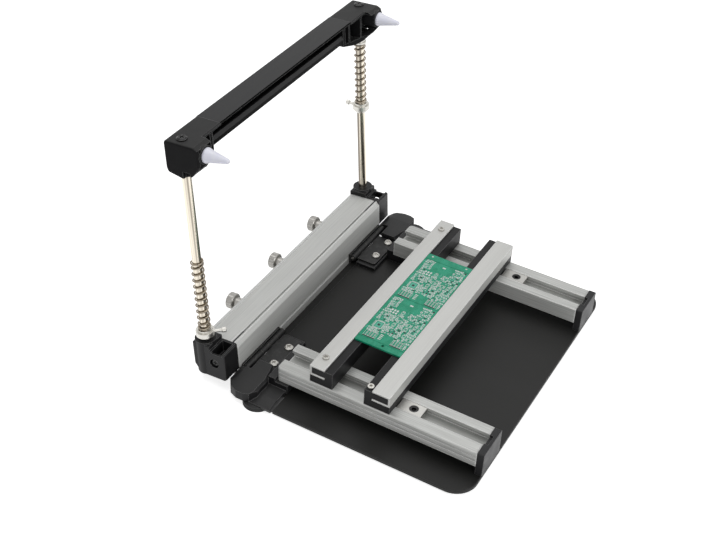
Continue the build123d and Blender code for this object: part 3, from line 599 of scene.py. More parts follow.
@dataclass(frozen=True)
class SolderMask(Finish):
    """Green solder mask over glass laminate, with copper showing paler under it."""

    colour: Colour = display(14, 150, 114)
    copper: Colour = display(44, 172, 136)
    roughness: Pair = (0.22, 0.34)
    slot: str = "board_green"

    def draw(self, sheet: ShaderSheet) -> None:
        """Make a glossy green coat with cloudy copper fill and the laminate's weave.

        Args:
            sheet: Sheet to fill.
        """
        weave = sheet.noise(size=0.4 * MM, detail=1.0)
        fill = sheet.noise(size=7 * MM)
        sheet.drive("Base Color", sheet.blend(fill, (0.45, 0.6), 0.6, self.colour, self.copper))
        sheet.roughen(weave, WIDE_CUT, self.roughness)
        sheet.level(specular_ior_level=0.3, coat_weight=0.1, coat_roughness=0.25)
        sheet.relief(weave, depth=0.02 * MM, strength=0.3, edge=0.15 * MM)


@dataclass(frozen=True)
class BoardPrint(Finish):
    """A thin layer on the circuit board: track, tin or legend."""

    colour: Colour
    metallic: float = 0.0
    roughness: float = 0.4
    slot: str = "board_green"

    def draw(self, sheet: ShaderSheet) -> None:
        """Make a thin printed or plated layer with a slightly uneven tone.

        Args:
            sheet: Sheet to fill.
        """
        tone = sheet.noise(size=1.2 * MM)
        sheet.drive("Base Color", sheet.mix(tone, self.colour, shaded(self.colour, 0.86)))
        sheet.roughen(tone, WIDE_CUT, (self.roughness * 0.8, self.roughness * 1.2))
        sheet.level(metallic=self.metallic)
        sheet.relief(tone, depth=0.01 * MM, strength=0.4)


RAIL_METAL = Extrusion("rail_metal", Grain.ALONG, display(210, 211, 208), display(166, 167, 164),
                       metallic=0.2, edge=1.8 * MM)
BAR_METAL = Extrusion("bar_metal", Grain.ACROSS, display(218, 219, 216), display(198, 199, 196),
                      metallic=0.1, edge=2.4 * MM)
CHANNEL_METAL = Extrusion("channel_metal", Grain.ACROSS, display(206, 206, 203), display(198, 198, 195))
PLATE_COAT = PowderCoat("plate_coat")
MOULDED = Moulding("grained_moulding")
# The block and head mouldings get painted light on their upward faces.
BLOCK_PLASTIC = Moulding("block_moulding", dust_and_sheen=0.5)
HEAD_PLASTIC = Moulding("head_moulding", display(27, 27, 28), dust_and_sheen=1.0, gloss=0.04)
CAP_PLASTIC = Moulding("cap_moulding", display(40, 40, 41), display(120, 120, 120))
CROSSBAR_COAT = BlackAnodised("crossbar_coat")
# Near-black painted shade for the crossbar's plate edge and the beam's front, which lie in shade.
BEAM_PAINTED_SHADE = BlackAnodised("beam_coat", display(5, 5, 5), gloss=0.02)
ROD_PLATE = GroundRod("rod_plate", FRAME_LEAN)
SPRING_WIRE = Plated("spring_wire", display(150, 140, 126), roughness=0.26, slot="spring_steel")
THUMB_STEEL = Plated("thumb_steel", display(160, 158, 154), roughness=0.3)
NUT_STEEL = Plated("nut_steel", display(176, 175, 171), roughness=0.32, slot="steel")
NICKEL = Plated("nickel", display(188, 186, 181), roughness=0.2)
TURNED_STEEL = Plated("turned_steel", display(208, 206, 200), roughness=0.26, grain=Grain.ROUND,
                      slot="steel")
HINGE_STEEL = BlackOxide("hinge_steel")
SCREW_BLACK = BlackOxide("screw_black", display(26, 26, 27), roughness=0.2, slot="black_steel")
PAD_RUBBER = Rubber("matte_rubber")
CONE_PLASTIC = MilkyPlastic("cone_plastic")
MASK = SolderMask("solder_mask")
TRACK = BoardPrint("board_track", display(86, 192, 164), roughness=0.3)
TIN = BoardPrint("board_tin", display(206, 210, 208), metallic=0.7, roughness=0.3)
LEGEND = BoardPrint("board_legend", display(226, 234, 230), roughness=0.5)
# Dark layer: drilled holes, dark strips and patches of painted shadow.
DARK_HOLES_AND_SHADE = BoardPrint("board_dark", display(14, 46, 36), roughness=0.6)


@dataclass
class SubAssembly:
    """A group of pieces that one class dresses and details, with the frame's nodes by name."""

    nodes: dict[str, bpy.types.Object]

    def dress(self, finish: Finish, names: Iterable[str]) -> None:
        """Give CAD nodes a finish.

        Args:
            finish: The finish.
            names: Names of the nodes.
        """
        for name in names:
            piece = self.nodes[name]
            piece.data.materials.clear()
            piece.data.materials.append(finish.material())
            LOG.info("%s: %s", name, finish.name)

    def add(self, name: str, mesh: bmesh.types.BMesh, finish: Finish, body: str) -> bpy.types.Object:
        """Make an object from a bmesh and let it ride on a body.

        Args:
            name: Name of the piece.
            mesh: Its finished shape, in place, which is freed.
            finish: Its finish.
            body: Body that it rides on.

        Returns:
            The new object.
        """
        data = bpy.data.meshes.new(name)
        mesh.to_mesh(data)
        mesh.free()
        data.materials.append(finish.material())
        piece = bpy.data.objects.new(name, data)
        show(piece)
        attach(piece, body)
        finish.slot
        LOG.info("%s: %d faces, %s", name, len(data.polygons), finish.name)
        return piece


def pairs(name: str) -> list[str]:
    """Give the node names of a handed pair."""
    return [f"{side.value}_{name}" for side in Side]


def pull(mesh: bmesh.types.BMesh, faces: list[bmesh.types.BMFace], vec: Point, keep: bool) -> None:
    """Draw faces out.

    Args:
        mesh: Mesh that they belong to.
        faces: The faces.
        vec: Way that they move.
        keep: True where the faces also stay behind, to close the other end.
    """
    moved = bmesh.ops.extrude_face_region(mesh, geom=faces, use_keep_orig=keep)
    if not keep:
        bmesh.ops.delete(mesh, geom=faces, context="FACES_ONLY")
    corners = [part for part in moved["geom"] if isinstance(part, bmesh.types.BMVert)]
    bmesh.ops.translate(mesh, vec=vec, verts=corners)
    bmesh.ops.recalc_face_normals(mesh, faces=mesh.faces)


def round_edges(mesh: bmesh.types.BMesh, edges: list[bmesh.types.BMEdge], radius: float) -> None:
    """Round some edges of a mesh with two strips of faces each."""
    bmesh.ops.bevel(mesh, geom=edges, offset=radius, affect="EDGES", segments=2, profile=0.5, material=-1)


@dataclass
class Base(SubAssembly):
    """Sheet base with its rails, corner blocks and hinges."""

    apron_half: float = 86.0 * MM
    apron_reach: float = 5.4 * MM
    tongue_half: float = 61.8 * MM
    tongue_reach: float = 1.4 * MM
    apron_bevel: float = 0.4 * MM

    def fold_apron(self) -> None:
        """Carry the sheet on to the rear, with a tongue between the hinges."""
        low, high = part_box("base_plate")
        mesh = bmesh.new()
        size = (2 * self.apron_half, self.apron_reach, high.z - low.z)
        middle = Matrix.Translation((0.0, high.y + self.apron_reach / 2, (low.z + high.z) / 2))
        bmesh.ops.create_cube(mesh, size=1.0, matrix=middle @ Matrix.Diagonal((*size, 1.0)))
        for cut in (-self.tongue_half, self.tongue_half):
            bmesh.ops.bisect_plane(mesh, geom=mesh.verts[:] + mesh.edges[:] + mesh.faces[:],
                                   plane_co=(cut, 0.0, 0.0), plane_no=(1.0, 0.0, 0.0))
        rear = [face for face in mesh.faces
                if face.normal.y > FACING and abs(face.calc_center_median().x) < self.tongue_half]
        pull(mesh, rear, (0.0, self.tongue_reach, 0.0), keep=False)
        reach = high.y + self.apron_reach + self.tongue_reach / 2
        edges = [edge for edge in mesh.edges if all(corner.co.y > reach for corner in edge.verts)]
        round_edges(mesh, edges, self.apron_bevel)
        self.add("base_apron", mesh, PLATE_COAT, "base")

    def build(self) -> None:
        """Dress the base's pieces."""
        self.fold_apron()
        self.dress(PLATE_COAT, ["base_plate"])
        self.dress(PAD_RUBBER, ["base_pads", "corner_feet"])
        self.dress(RAIL_METAL, pairs("rail"))
        self.dress(CAP_PLASTIC, pairs("rail_cap"))
        for part in ("corner_block", "hinge_block"):
            self.dress(BLOCK_PLASTIC, pairs(part))
        self.dress(HINGE_STEEL, [*pairs("base_leaf"), *pairs("frame_leaf")])
        self.dress(NICKEL, ["leaf_screws", *pairs("hinge_pin")])


@dataclass
class StencilFrame(SubAssembly):
    """Swinging frame: clamp bar, end blocks, rods, springs and crossbar."""

    spring_weld: float = 0.001 * MM
    crossbar_travel: float = 15.0 * MM
    crossbar_half: float = 100.0 * MM
    crossbar_bevel: float = 0.3 * MM
    # Radians that two faces turn at an edge which is rounded.
    sharp_edge: float = 1.0
    looks_ahead: float = -0.3
    pin: Point = (0.0, 112.0 * MM, 11.0 * MM)
    # The rest is in millimetres: depth behind the rods' line and height along them.
    pin_to_rod: Pair = (29.2, -4.0)
    # Height below which, and depth before which, faces get the near-black painted shade.
    painted_shade_below: float = 212.0
    painted_shade_before: float = -11.3
    crossbar_section: Sequence[Pair] = (
        (-11.8, 228.8), (-11.8, 229.5), (-10.8, 230.3), (10.8, 230.3), (11.6, 229.5), (11.6, 206.5),
        (10.6, 205.5), (-0.5, 205.5), (-2.6, 207.6), (-3.0, 211.6), (-2.0, 214.9), (-0.6, 215.4),
        (0.0, 214.8), (0.0, 207.5), (9.6, 207.5), (9.6, 228.0), (-9.0, 228.0))

    def fold_crossbar(self) -> None:
        """Fold the crossbar from its section, upright, and lean it about the hinge pins."""
        lean = Matrix.Translation(self.pin) @ Matrix.Rotation(-math.radians(FRAME_LEAN), 4, "X")
        shift_y, shift_z = self.pin_to_rod
        mesh = bmesh.new()
        end = mesh.faces.new([
            mesh.verts.new((-self.crossbar_half, (depth + shift_y) * MM, (height + shift_z) * MM))
            for depth, height in self.crossbar_section])
        pull(mesh, [end], (2 * self.crossbar_half, 0.0, 0.0), keep=True)
        long_edges = [edge for edge in mesh.edges if edge.calc_length() > self.crossbar_half
                      and edge.calc_face_angle(0.0) > self.sharp_edge]
        round_edges(mesh, long_edges, self.crossbar_bevel)
        mesh.normal_update()
        # Painted shade: the plate's front edge and the beam's front faces get the near-black material.
        for face in mesh.faces:
            middle = face.calc_center_median()
            plate_edge = middle.y < (self.painted_shade_before + shift_y) * MM
            beam_front = middle.z < (self.painted_shade_below + shift_z) * MM and face.normal.y < self.looks_ahead
            face.material_index = int(plate_edge or beam_front)
        bmesh.ops.transform(mesh, matrix=lean, verts=mesh.verts)
        piece = self.add("crossbar_profile", mesh, CROSSBAR_COAT, "crossbar")
        piece.data.materials.append(BEAM_PAINTED_SHADE.material())
        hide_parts("crossbar")

    def wind_right_spring(self) -> None:
        """Put a welded, smooth-shaded copy of the right spring in its place, riding on the right collar.
        """
        piece = self.nodes["right_spring"].copy()
        piece.data = piece.data.copy()
        piece.name = "right_spring_wire"
        show(piece)
        mesh = bmesh.new()
        mesh.from_mesh(piece.data)
        bmesh.ops.remove_doubles(mesh, verts=mesh.verts, dist=self.spring_weld)
        for face in mesh.faces:
            face.smooth = True
        mesh.to_mesh(piece.data)
        mesh.free()
        piece.data.materials.clear()
        piece.data.materials.append(SPRING_WIRE.material())
        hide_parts("right_spring")
        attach(piece, "right_collar")
        SPRING_WIRE.slot
        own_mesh(piece)

    def build(self) -> None:
        """Dress the frame's pieces."""
        self.dress(BAR_METAL, ["clamp_bar", "clamp_jaw"])
        self.dress(THUMB_STEEL, [f"thumb_screw_{i}" for i in (1, 2, 3)])
        self.dress(MOULDED, pairs("end_block"))
        self.dress(HEAD_PLASTIC, pairs("crossbar_block"))
        self.dress(SCREW_BLACK, ["end_screws", "crossbar_screws"])
        self.dress(ROD_PLATE, pairs("rod"))
        self.dress(SPRING_WIRE, ["left_spring"])
        self.wind_right_spring()
        self.dress(TURNED_STEEL, [*pairs("collar"), *pairs("collar_screw"), "right_bush"])
        self.fold_crossbar()
        self.dress(CONE_PLASTIC, pairs("cone_foot"))


@dataclass
class BoardClamps(SubAssembly):
    """Two clamp bars that slide on the rails."""

    def build(self) -> None:
        """Dress the clamp bars' pieces."""
        for end in ("rear", "front"):
            self.dress(CHANNEL_METAL, [f"{end}_clamp_channel"])
            self.dress(MOULDED, [f"{end}_clamp_insert"])
            self.dress(NICKEL, [f"{end}_clamp_screws"])
        self.dress(NUT_STEEL, pairs("slot_nut"))
        self.dress(SCREW_BLACK, pairs("grub_screw"))


class Layer(Enum):
    """Height of the top of a printed or plated layer, in copper thicknesses."""

    TRACK = 0.5
    FILL = 0.6
    SLOT = 1.0
    PAD = 1.2
    RAISED = 1.3
    PRINT = 1.4
    PIN_PAD = 1.6
    HOLE = 1.7
    PIN_HOLE = 2.0


@dataclass(frozen=True)
class Field:
    """A rectangle in millimetres from the left edge of a half and the front edge of the panel."""

    x0: float
    y0: float
    x1: float
    y1: float

    @property
    def middle(self) -> Pair:
        """Its centre, in millimetres."""
        return (self.x0 + self.x1) / 2, (self.y0 + self.y1) / 2

    @property
    def size(self) -> Pair:
        """Its length and width in metres."""
        return (self.x1 - self.x0) * MM, (self.y1 - self.y0) * MM

    def holds(self, x: float, y: float, margin: float) -> bool:
        """Say whether a place lies in the rectangle or within a margin of it."""
        return (self.x0 - margin < x / MM < self.x1 + margin
                and self.y0 - margin < y / MM < self.y1 + margin)


@dataclass(frozen=True)
class Footprint:
    """Two rows of legs with a printed outline, for a part whose rows run along X."""

    legs: int
    reach: float
    pad: Pair
    outline: Pair
    line: float
    pitch: float = 0.95 * MM


CHIP_PAD = (0.55 * MM, 1.3 * MM)
LONG_CHIP = Footprint(4, 2.2 * MM, CHIP_PAD, (4 * Footprint.pitch, 2.2 * MM), 0.3 * MM)
SHORT_CHIP = Footprint(3, 2.2 * MM, CHIP_PAD, (3 * Footprint.pitch, 2.2 * MM), 0.3 * MM)
SMALL_PART = Footprint(1, 0.85 * MM, (1.1 * MM, 0.85 * MM), (1.7 * MM, 3.0 * MM), 0.26 * MM)


@dataclass(frozen=True)
class PinHeader:
    """Sizes of a pin header, which has a dark strip on its left."""

    slot_inset: float = 0.4 * MM
    slot_width: float = 1.5 * MM
    print_shift: float = 0.6 * MM
    print_trim: float = 1.0 * MM
    line: float = 0.2 * MM
    columns: int = 3
    pitch: float = 2.54 * MM
    first_pin: Pair = (2.1 * MM, 1.524 * MM)
    pad: Pair = (1.7 * MM, 1.1 * MM)
    hole: float = 0.42 * MM


@dataclass(frozen=True)
class PrintedMarks:
    """Sizes of a row of printed marks, each a bar with a wider head."""

    count: int = 4
    first: Pair = (1.0 * MM, 2.0 * MM)
    pitch: float = 2.0 * MM
    bar: Pair = (0.9 * MM, 2.8 * MM)
    head: Pair = (1.5 * MM, 0.5 * MM)
    head_shift: float = 1.0 * MM


@dataclass(frozen=True)
class LargeChip:
    """Sizes of the footprint of a chip with legs on its four sides."""

    core_trim: float = 4.4 * MM
    centre_pad: Pair = (2.6 * MM, 2.2 * MM)
    print_trim: float = 2.6 * MM
    line: float = 0.3 * MM
    leg_rows: Sequence[tuple[int, float, bool]] = ((9, 0.95 * MM, True), (8, 0.9 * MM, False))
    leg_pad: Pair = (0.5 * MM, 1.5 * MM)
    leg_inset: float = 0.5 * MM


@dataclass(frozen=True)
class PadBlock:
    """Sizes of a block of wide bright pads."""

    columns: int = 2
    rows: int = 3
    first: Pair = (1.8 * MM, 1.4 * MM)
    pitch: Pair = (3.4 * MM, 2.6 * MM)
    pad: Pair = (2.4 * MM, 1.6 * MM)


@dataclass(frozen=True)
class BoardLayout:
    """Sizes of the circuit panel: two equal boards between plain strips."""

    strip: float = 6.1 * MM
    step: float = 63.1 * MM
    width: float = 61.4 * MM
    edge: float = 2.0 * MM
    copper: float = 0.035 * MM
    corner_hole: Pair = (3.0 * MM, 5.0 * MM)
    corner_pad: float = 0.9 * MM
    headers: Sequence[Field] = (Field(1.4, 4.4, 9.4, 14.8), Field(1.4, 29.6, 9.4, 41.0))
    bare: Sequence[Field] = (Field(0.5, 16.4, 11.2, 24.0), Field(49.0, 13.2, 61.4, 30.8))
    marks: Field = Field(2.8, 24.0, 10.8, 28.0)
    large_chip: Field = Field(14.6, 30.2, 25.6, 40.0)
    bright_pads: Field = Field(39.0, 28.2, 46.0, 36.2)
    side_mark: Field = Field(56.1, 21.1, 57.9, 24.1)
    header: PinHeader = PinHeader()
    mark: PrintedMarks = PrintedMarks()
    chip: LargeChip = LargeChip()
    pad_block: PadBlock = PadBlock()
    cell: float = 2.9 * MM
    cell_start: Pair = (0.6 * MM, 1.0 * MM)
    # A cell gets the first of these things whose number is above its random pick, or nothing.
    chips_to: float = 0.12
    small_parts_to: float = 0.62
    vias_to: float = 0.78
    patches_to: float = 0.9
    across_share: float = 0.6
    small_across_share: float = 0.5
    ring_segments: int = 14
    seed: int = 20
    # The rest is in millimetres, as the fields are: room kept round them and sizes to draw from.
    part_room: float = 0.8
    chip_room: float = 2.0
    track_room: float = 1.0
    scatter: float = 0.3
    patch_length: Pair = (1.2, 2.4)
    patch_width: Pair = (0.8, 1.8)
    via_sizes: Sequence[float] = (0.55, 0.8, 1.1)
    track_widths: Sequence[float] = (0.25, 0.35, 0.5)
    track_lead: Pair = (1.5, 5.0)
    track_slant: Pair = (0.8, 2.6)


def turned(along: float, over: float, across: bool) -> Pair:
    """Give a place or size on X and Y, for rows along X where across is true."""
    return (along, over) if across else (over, along)


def trimmed(size: Pair, trim: float) -> Pair:
    """Make a length and a width smaller by the same amount."""
    return size[0] - trim, size[1] - trim


@dataclass
class CircuitBoard(SubAssembly):
    """Bare panel of two repeated boards with tracks, tinned pads and a printed legend."""

    layout: BoardLayout = BoardLayout()

    def __post_init__(self) -> None:
        """Read the board's place from the frame and start its printed layers."""
        self.low, self.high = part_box("circuit_board")
        self.left = self.low.x
        self.tracks = bmesh.new()
        self.pads = bmesh.new()
        self.legend = bmesh.new()
        self.dark = bmesh.new()

    def at(self, x: float, y: float) -> Pair:
        """Give the place of a point that is in millimetres, as the fields are."""
        return self.left + x * MM, self.low.y + y * MM

    def stand(self, centre: Pair, top: float) -> Matrix:
        """Give the place of a layer of a given height that stands on the board."""
        return Matrix.Translation((*centre, self.high.z + top / 2))

    def patch(self, mesh: bmesh.types.BMesh, centre: Pair, size: Pair, layer: Layer,
              turn: float = 0.0) -> None:
        """Lay a thin rectangle on the board.

        Args:
            mesh: Mesh that takes it.
            centre: Its centre.
            size: Its length and width.
            layer: Its layer.
            turn: Angle about Z in radians.
        """
        top = self.layout.copper * layer.value
        place = self.stand(centre, top) @ Matrix.Rotation(turn, 4, "Z")
        bmesh.ops.create_cube(mesh, size=1.0, matrix=place @ Matrix.Diagonal((*size, top, 1.0)))

    def ring(self, mesh: bmesh.types.BMesh, centre: Pair, radius: float, layer: Layer) -> None:
        """Lay a thin round pad on the board.

        Args:
            mesh: Mesh that takes it.
            centre: Its centre.
            radius: Its radius.
            layer: Its layer.
        """
        top = self.layout.copper * layer.value
        bmesh.ops.create_cone(mesh, cap_ends=True, segments=self.layout.ring_segments, radius1=radius,
                              radius2=radius, depth=top, matrix=self.stand(centre, top))

    def frame_print(self, centre: Pair, size: Pair, line: float) -> None:
        """Print the outline of a part.

        Args:
            centre: Centre of the outline.
            size: Its length and width.
            line: Width of the printed line.
        """
        x, y = centre
        for sign in (-1, 1):
            self.patch(self.legend, (x, y + sign * size[1] / 2), (size[0] + line, line), Layer.PRINT)
            self.patch(self.legend, (x + sign * size[0] / 2, y), (line, size[1]), Layer.PRINT)

    def pin_header(self, place: Field) -> None:
        """Lay the pads of a pin header, with the dark strip on its left.

        Args:
            place: Where the header lies.
        """
        header = self.layout.header
        x, y = self.at(place.x0, place.y0)
        width, length = place.size
        middle = y + length / 2
        self.patch(self.dark, (x + header.slot_inset, middle), (header.slot_width, length), Layer.SLOT)
        self.frame_print((x + width / 2 + header.print_shift, middle), (width - header.print_trim, length),
                         header.line)
        first_x, first_y = header.first_pin
        for column in range(header.columns):
            for row in range(int(length / header.pitch)):
                centre = (x + first_x + column * header.pitch, y + first_y + row * header.pitch)
                self.patch(self.pads, centre, header.pad, Layer.PIN_PAD)
                self.ring(self.dark, centre, header.hole, Layer.PIN_HOLE)

    def printed_marks(self) -> None:
        """Print the row of marks above the bare field."""
        mark, place = self.layout.mark, self.layout.marks
        left, low = self.at(place.x0, place.y0)
        for index in range(mark.count):
            x, y = left + mark.first[0] + index * mark.pitch, low + mark.first[1]
            self.patch(self.legend, (x, y), mark.bar, Layer.PAD)
            self.patch(self.legend, (x, y + mark.head_shift), mark.head, Layer.RAISED)

    def large_chip(self) -> None:
        """Lay the footprint of the large chip, with legs on its four sides."""
        chip, place = self.layout.chip, self.layout.large_chip
        x, y = self.at(*place.middle)
        size = place.size
        self.patch(self.tracks, (x, y), trimmed(size, chip.core_trim), Layer.FILL)
        self.patch(self.dark, (x, y), chip.centre_pad, Layer.SLOT)
        self.frame_print((x, y), trimmed(size, chip.print_trim), chip.line)
        for side in (-1, 1):
            for legs, pitch, across in chip.leg_rows:
                pad = turned(*chip.leg_pad, across)
                reach = side * (size[int(across)] / 2 - chip.leg_inset)
                for leg in range(legs):
                    shift = turned((leg - (legs - 1) / 2) * pitch, reach, across)
                    self.patch(self.pads, (x + shift[0], y + shift[1]), pad, Layer.PAD)

    def bright_pads(self) -> None:
        """Lay the block of bright pads."""
        block, place = self.layout.pad_block, self.layout.bright_pads
        left, low = self.at(place.x0, place.y0)
        for column in range(block.columns):
            for row in range(block.rows):
                centre = (left + block.first[0] + column * block.pitch[0],
                          low + block.first[1] + row * block.pitch[1])
                self.patch(self.pads, centre, block.pad, Layer.PRINT)

    def fixed_parts(self) -> None:
        """Lay the parts whose place shows plainly."""
        for place in self.layout.headers:
            self.pin_header(place)
        self.printed_marks()
        self.large_chip()
        self.bright_pads()
        mark = self.layout.side_mark
        self.patch(self.legend, self.at(*mark.middle), mark.size, Layer.PAD)

    def small_part(self, kind: Footprint, centre: Pair, across: bool) -> None:
        """Lay the pads of a small part with its outline.

        Args:
            kind: Its footprint.
            centre: Its centre.
            across: True where its rows run along X.
        """
        pad = turned(*kind.pad, across)
        for side in (-1, 1):
            for leg in range(kind.legs):
                shift = turned((leg - (kind.legs - 1) / 2) * kind.pitch, side * kind.reach, across)
                self.patch(self.pads, (centre[0] + shift[0], centre[1] + shift[1]), pad, Layer.PAD)
        self.frame_print(centre, turned(*kind.outline, across), kind.line)

    def via(self, centre: Pair, radius: float, hole: float = 0.45) -> None:
        """Lay a round pad with its drilled hole, whose size is a share of the pad's."""
        self.ring(self.pads, centre, radius, Layer.RAISED)
        self.ring(self.dark, centre, radius * hole, Layer.HOLE)

    def route(self, start: Pair, draw: random.Random) -> None:
        """Lay a track of three runs, with its middle run at 45 degrees.

        Args:
            start: Where the track starts.
            draw: Seeded source of the route.
        """
        x, y = start
        layout = self.layout
        width = draw.choice(layout.track_widths) * MM
        lead = draw.uniform(*layout.track_lead) * MM
        slant = draw.uniform(*layout.track_slant) * MM
        turn = draw.choice((-1, 1))
        along = draw.random() < layout.across_share
        for run in ((lead, 0.0), (slant, turn * slant), (lead, 0.0)):
            step_x, step_y = turned(*run, along)
            centre = (x + step_x / 2, y + step_y / 2)
            taken = self.is_taken(centre[0] - self.left, centre[1] - self.low.y, layout.track_room)
            if self.inside(centre, layout.edge) and not taken:
                size = (math.hypot(step_x, step_y) + width, width)
                self.patch(self.tracks, centre, size, Layer.TRACK, math.atan2(step_y, step_x))
            x, y = x + step_x, y + step_y

    def inside(self, place: Pair, margin: float) -> bool:
        """Say whether a place lies on the half's populated area."""
        return (self.left + margin < place[0] < self.left + self.layout.width - margin
                and self.low.y + margin < place[1] < self.high.y - margin)

    def is_taken(self, x: float, y: float, margin: float) -> bool:
        """Say whether a place within a half lies on a fixed part or a bare field.

        Args:
            x: Distance from the half's left edge.
            y: Distance from the board's lower edge.
            margin: Room kept round each field, in millimetres.

        Returns:
            True where no small part goes.
        """
        layout = self.layout
        fields = (*layout.headers, *layout.bare, layout.marks, layout.large_chip, layout.bright_pads)
        return any(place.holds(x, y, margin) for place in fields)

    def fill_cell(self, centre: Pair, fits: bool, draw: random.Random) -> bool:
        """Lay a small part, a via, a dark patch of painted shadow or nothing, and a track that starts
        there.

        Args:
            centre: Place of the part.
            fits: True where a chip has room.
            draw: Seeded source of the choice.

        Returns:
            True where a chip was laid.
        """
        layout = self.layout
        pick = draw.random()
        lays_chip = pick < layout.chips_to and fits
        if lays_chip:
            across = draw.random() < layout.across_share
            middle = (centre[0] + layout.cell / 2, centre[1] + layout.cell / 2)
            self.small_part(LONG_CHIP if across else SHORT_CHIP, middle, across)
        elif pick < layout.small_parts_to:
            self.small_part(SMALL_PART, centre, draw.random() < layout.small_across_share)
        elif pick < layout.vias_to:
            self.via(centre, draw.choice(layout.via_sizes) * MM)
        elif pick < layout.patches_to:
            # Painted shadow: a dark patch stands in for shadow on the board.
            size = (draw.uniform(*layout.patch_length) * MM, draw.uniform(*layout.patch_width) * MM)
            self.patch(self.dark, centre, size, Layer.FILL)
        self.route(centre, draw)
        return lays_chip

    def lay_half(self, left: float) -> None:
        """Lay one of the two equal boards of the panel.

        Args:
            left: X of its left edge.
        """
        layout = self.layout
        self.left = left
        draw = random.Random(layout.seed)
        self.fixed_parts()
        step, scatter = layout.cell, layout.scatter
        first_x, first_y = layout.cell_start
        columns, rows = int(layout.width / step), int((self.high.y - self.low.y - layout.edge) / step)
        taken: set[tuple[int, int]] = set()
        for column in range(columns):
            for row in range(rows):
                x, y = (column + 0.5) * step + first_x, (row + 0.5) * step + first_y
                if (column, row) in taken or self.is_taken(x, y, layout.part_room):
                    continue
                centre = (left + x + draw.uniform(-scatter, scatter) * MM,
                          self.low.y + y + draw.uniform(-scatter, scatter) * MM)
                fits = (column + 2 < columns and row + 1 < rows
                        and not self.is_taken(x + step, y + step, layout.chip_room))
                if self.fill_cell(centre, fits, draw):
                    taken |= {(column, row + 1), (column + 1, row), (column + 1, row + 1)}

    def build(self) -> None:
        """Dress the board and add its printed and plated layers."""
        self.dress(MASK, ["circuit_board"])
        for index in range(2):
            self.lay_half(self.low.x + self.layout.strip + index * self.layout.step)
        inset_x, inset_y = self.layout.corner_hole
        for y in (self.low.y + inset_y, self.high.y - inset_y):
            self.ring(self.pads, (self.high.x - inset_x, y), self.layout.corner_pad, Layer.PAD)
        layers = (("board_tracks", self.tracks, TRACK), ("board_pads", self.pads, TIN),
                  ("board_legend", self.legend, LEGEND), ("board_drills", self.dark, DARK_HOLES_AND_SHADE))
        for name, mesh, finish in layers:
            self.add(name, mesh, finish, "board")


@dataclass
class Lamp:
    """A soft box, with its size in metres."""

    name: str
    place: Point
    size: Pair
    watts: float


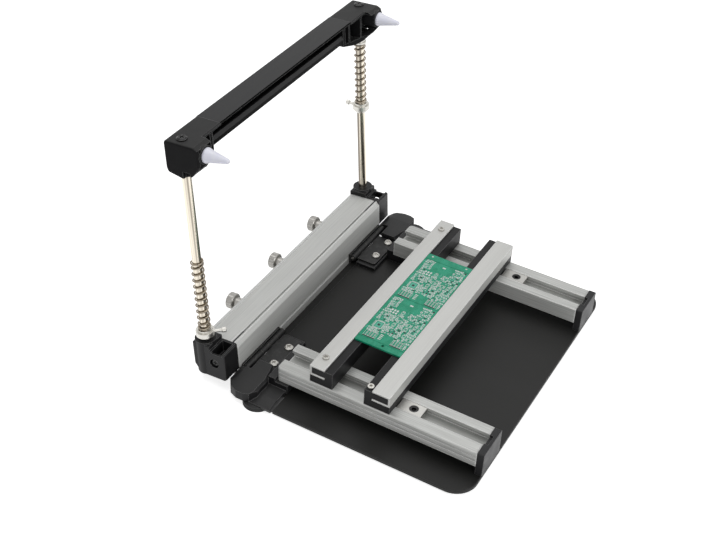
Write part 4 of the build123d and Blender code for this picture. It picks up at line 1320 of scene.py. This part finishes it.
@dataclass
class Studio:
    """Camera, floor and soft light, with its angles in degrees."""

    eye: Point = (-0.7660, -0.33435, 0.74357)
    yaw: float = 62.02
    pitch: float = -38.43
    roll: float = 3.0
    focal_px: float = 1241.3
    sensor_mm: float = 36.0
    near_clip: float = 0.01
    floor_size: float = 40.0
    floor_tone: float = 0.86
    floor_shown: float = 0.74
    world_light: float = 0.3
    world_shown: float = 0.7
    aim: Point = (0.0, 0.0, 0.06)
    lamps: Sequence[Lamp] = field(default_factory=lambda: (
        Lamp("overhead", (0.25, 0.35, 1.5), (1.6, 1.2), 9.0),
        Lamp("front_fill", (-0.3, -1.6, 0.7), (1.4, 0.8), 9.0),
        Lamp("left_fill", (-1.6, -0.2, 0.8), (1.0, 0.8), 3.0),
    ))

    def place_camera(self) -> None:
        """Put the camera where the photograph was taken."""
        data = bpy.data.cameras.new("camera")
        data.sensor_fit = "HORIZONTAL"
        data.sensor_width = self.sensor_mm
        data.lens = self.focal_px * self.sensor_mm / PHOTO_WIDTH_PX
        data.clip_start = self.near_clip
        camera = bpy.data.objects.new("camera", data)
        show(camera)
        yaw, pitch, roll = (math.radians(angle) for angle in (self.yaw, self.pitch, self.roll))
        ahead = Vector((math.sin(yaw) * math.cos(pitch), math.cos(yaw) * math.cos(pitch), math.sin(pitch)))
        level = ahead.cross(Vector((0.0, 0.0, 1.0))).normalized()
        upright = level.cross(ahead)
        right = level * math.cos(roll) + upright * math.sin(roll)
        top = upright * math.cos(roll) - level * math.sin(roll)
        turn = Matrix((right, top, -ahead)).transposed().to_4x4()
        camera.matrix_world = Matrix.Translation(self.eye) @ turn
        bpy.context.scene.camera = camera
        LOG.info("camera: %.1f mm lens", data.lens)

    def lay_floor(self) -> None:
        """Lay a white floor that keeps the object's shadow."""
        mesh = bmesh.new()
        bmesh.ops.create_grid(mesh, x_segments=1, y_segments=1, size=self.floor_size / 2)
        data = bpy.data.meshes.new("floor")
        mesh.to_mesh(data)
        mesh.free()
        floor = bpy.data.objects.new("floor", data)
        show(floor)
        sheet = ShaderSheet("floor_white")
        sheet.level(base_color=(self.floor_tone,) * 3, roughness=0.9, specular_ior_level=0.1,
                    emission_color=(1.0, 1.0, 1.0))
        sheet.drive("Emission Strength", self.seen_rays(sheet.material.node_tree, self.floor_shown))
        data.materials.append(sheet.material)
        LOG.info("floor laid")

    @staticmethod
    def seen_rays(tree: bpy.types.NodeTree, strength: float) -> Any:
        """Give a strength to the rays that the camera, gloss and glass see.

        Args:
            tree: Node tree that takes the nodes.
            strength: Strength for those rays.

        Returns:
            The strength socket.
        """
        nodes, links = tree.nodes, tree.links
        path = nodes.new("ShaderNodeLightPath")
        total = path.outputs["Is Camera Ray"]
        for name in ("Is Glossy Ray", "Is Transmission Ray"):
            larger = nodes.new("ShaderNodeMath")
            larger.operation = "MAXIMUM"
            links.new(total, larger.inputs[0])
            links.new(path.outputs[name], larger.inputs[1])
            total = larger.outputs[0]
        scaled = nodes.new("ShaderNodeMath")
        scaled.operation = "MULTIPLY"
        scaled.inputs[1].default_value = strength
        links.new(total, scaled.inputs[0])
        return scaled.outputs[0]

    def fill_world(self) -> None:
        """Light the world evenly and show it white."""
        world = bpy.data.worlds.new("studio")
        world.use_nodes = True
        bpy.context.scene.world = world
        nodes, links = world.node_tree.nodes, world.node_tree.links
        background = nodes["Background"]
        background.inputs["Color"].default_value = (1.0, 1.0, 1.0, 1.0)
        add = nodes.new("ShaderNodeMath")
        add.operation = "ADD"
        add.inputs[1].default_value = self.world_light
        links.new(self.seen_rays(world.node_tree, self.world_shown), add.inputs[0])
        links.new(add.outputs[0], background.inputs["Strength"])

    def hang_lamps(self) -> None:
        """Hang the soft boxes, each turned to the object."""
        for lamp in self.lamps:
            data = bpy.data.lights.new(lamp.name, "AREA")
            data.shape = "RECTANGLE"
            data.size, data.size_y = lamp.size
            data.energy = lamp.watts
            light = bpy.data.objects.new(lamp.name, data)
            show(light)
            ahead = Vector(self.aim) - Vector(lamp.place)
            turn = ahead.to_track_quat("-Z", "Y").to_matrix().to_4x4()
            light.matrix_world = Matrix.Translation(lamp.place) @ turn
            LOG.info("%s: %.0f W", lamp.name, lamp.watts)

    def build(self) -> None:
        """Set up the whole studio."""
        bpy.context.scene.view_settings.view_transform = "Standard"
        self.place_camera()
        self.lay_floor()
        self.fill_world()
        self.hang_lamps()


def main() -> None:
    """Load the frame, build the sub-assemblies in order and set up the studio."""
    logging.basicConfig(level=logging.INFO, format="%(name)s: %(message)s")
    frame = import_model()
    nodes = frame["nodes"]
    Base(nodes).build()
    StencilFrame(nodes).build()
    BoardClamps(nodes).build()
    CircuitBoard(nodes).build()
    Studio().build()


if __name__ == "__main__":
    main()
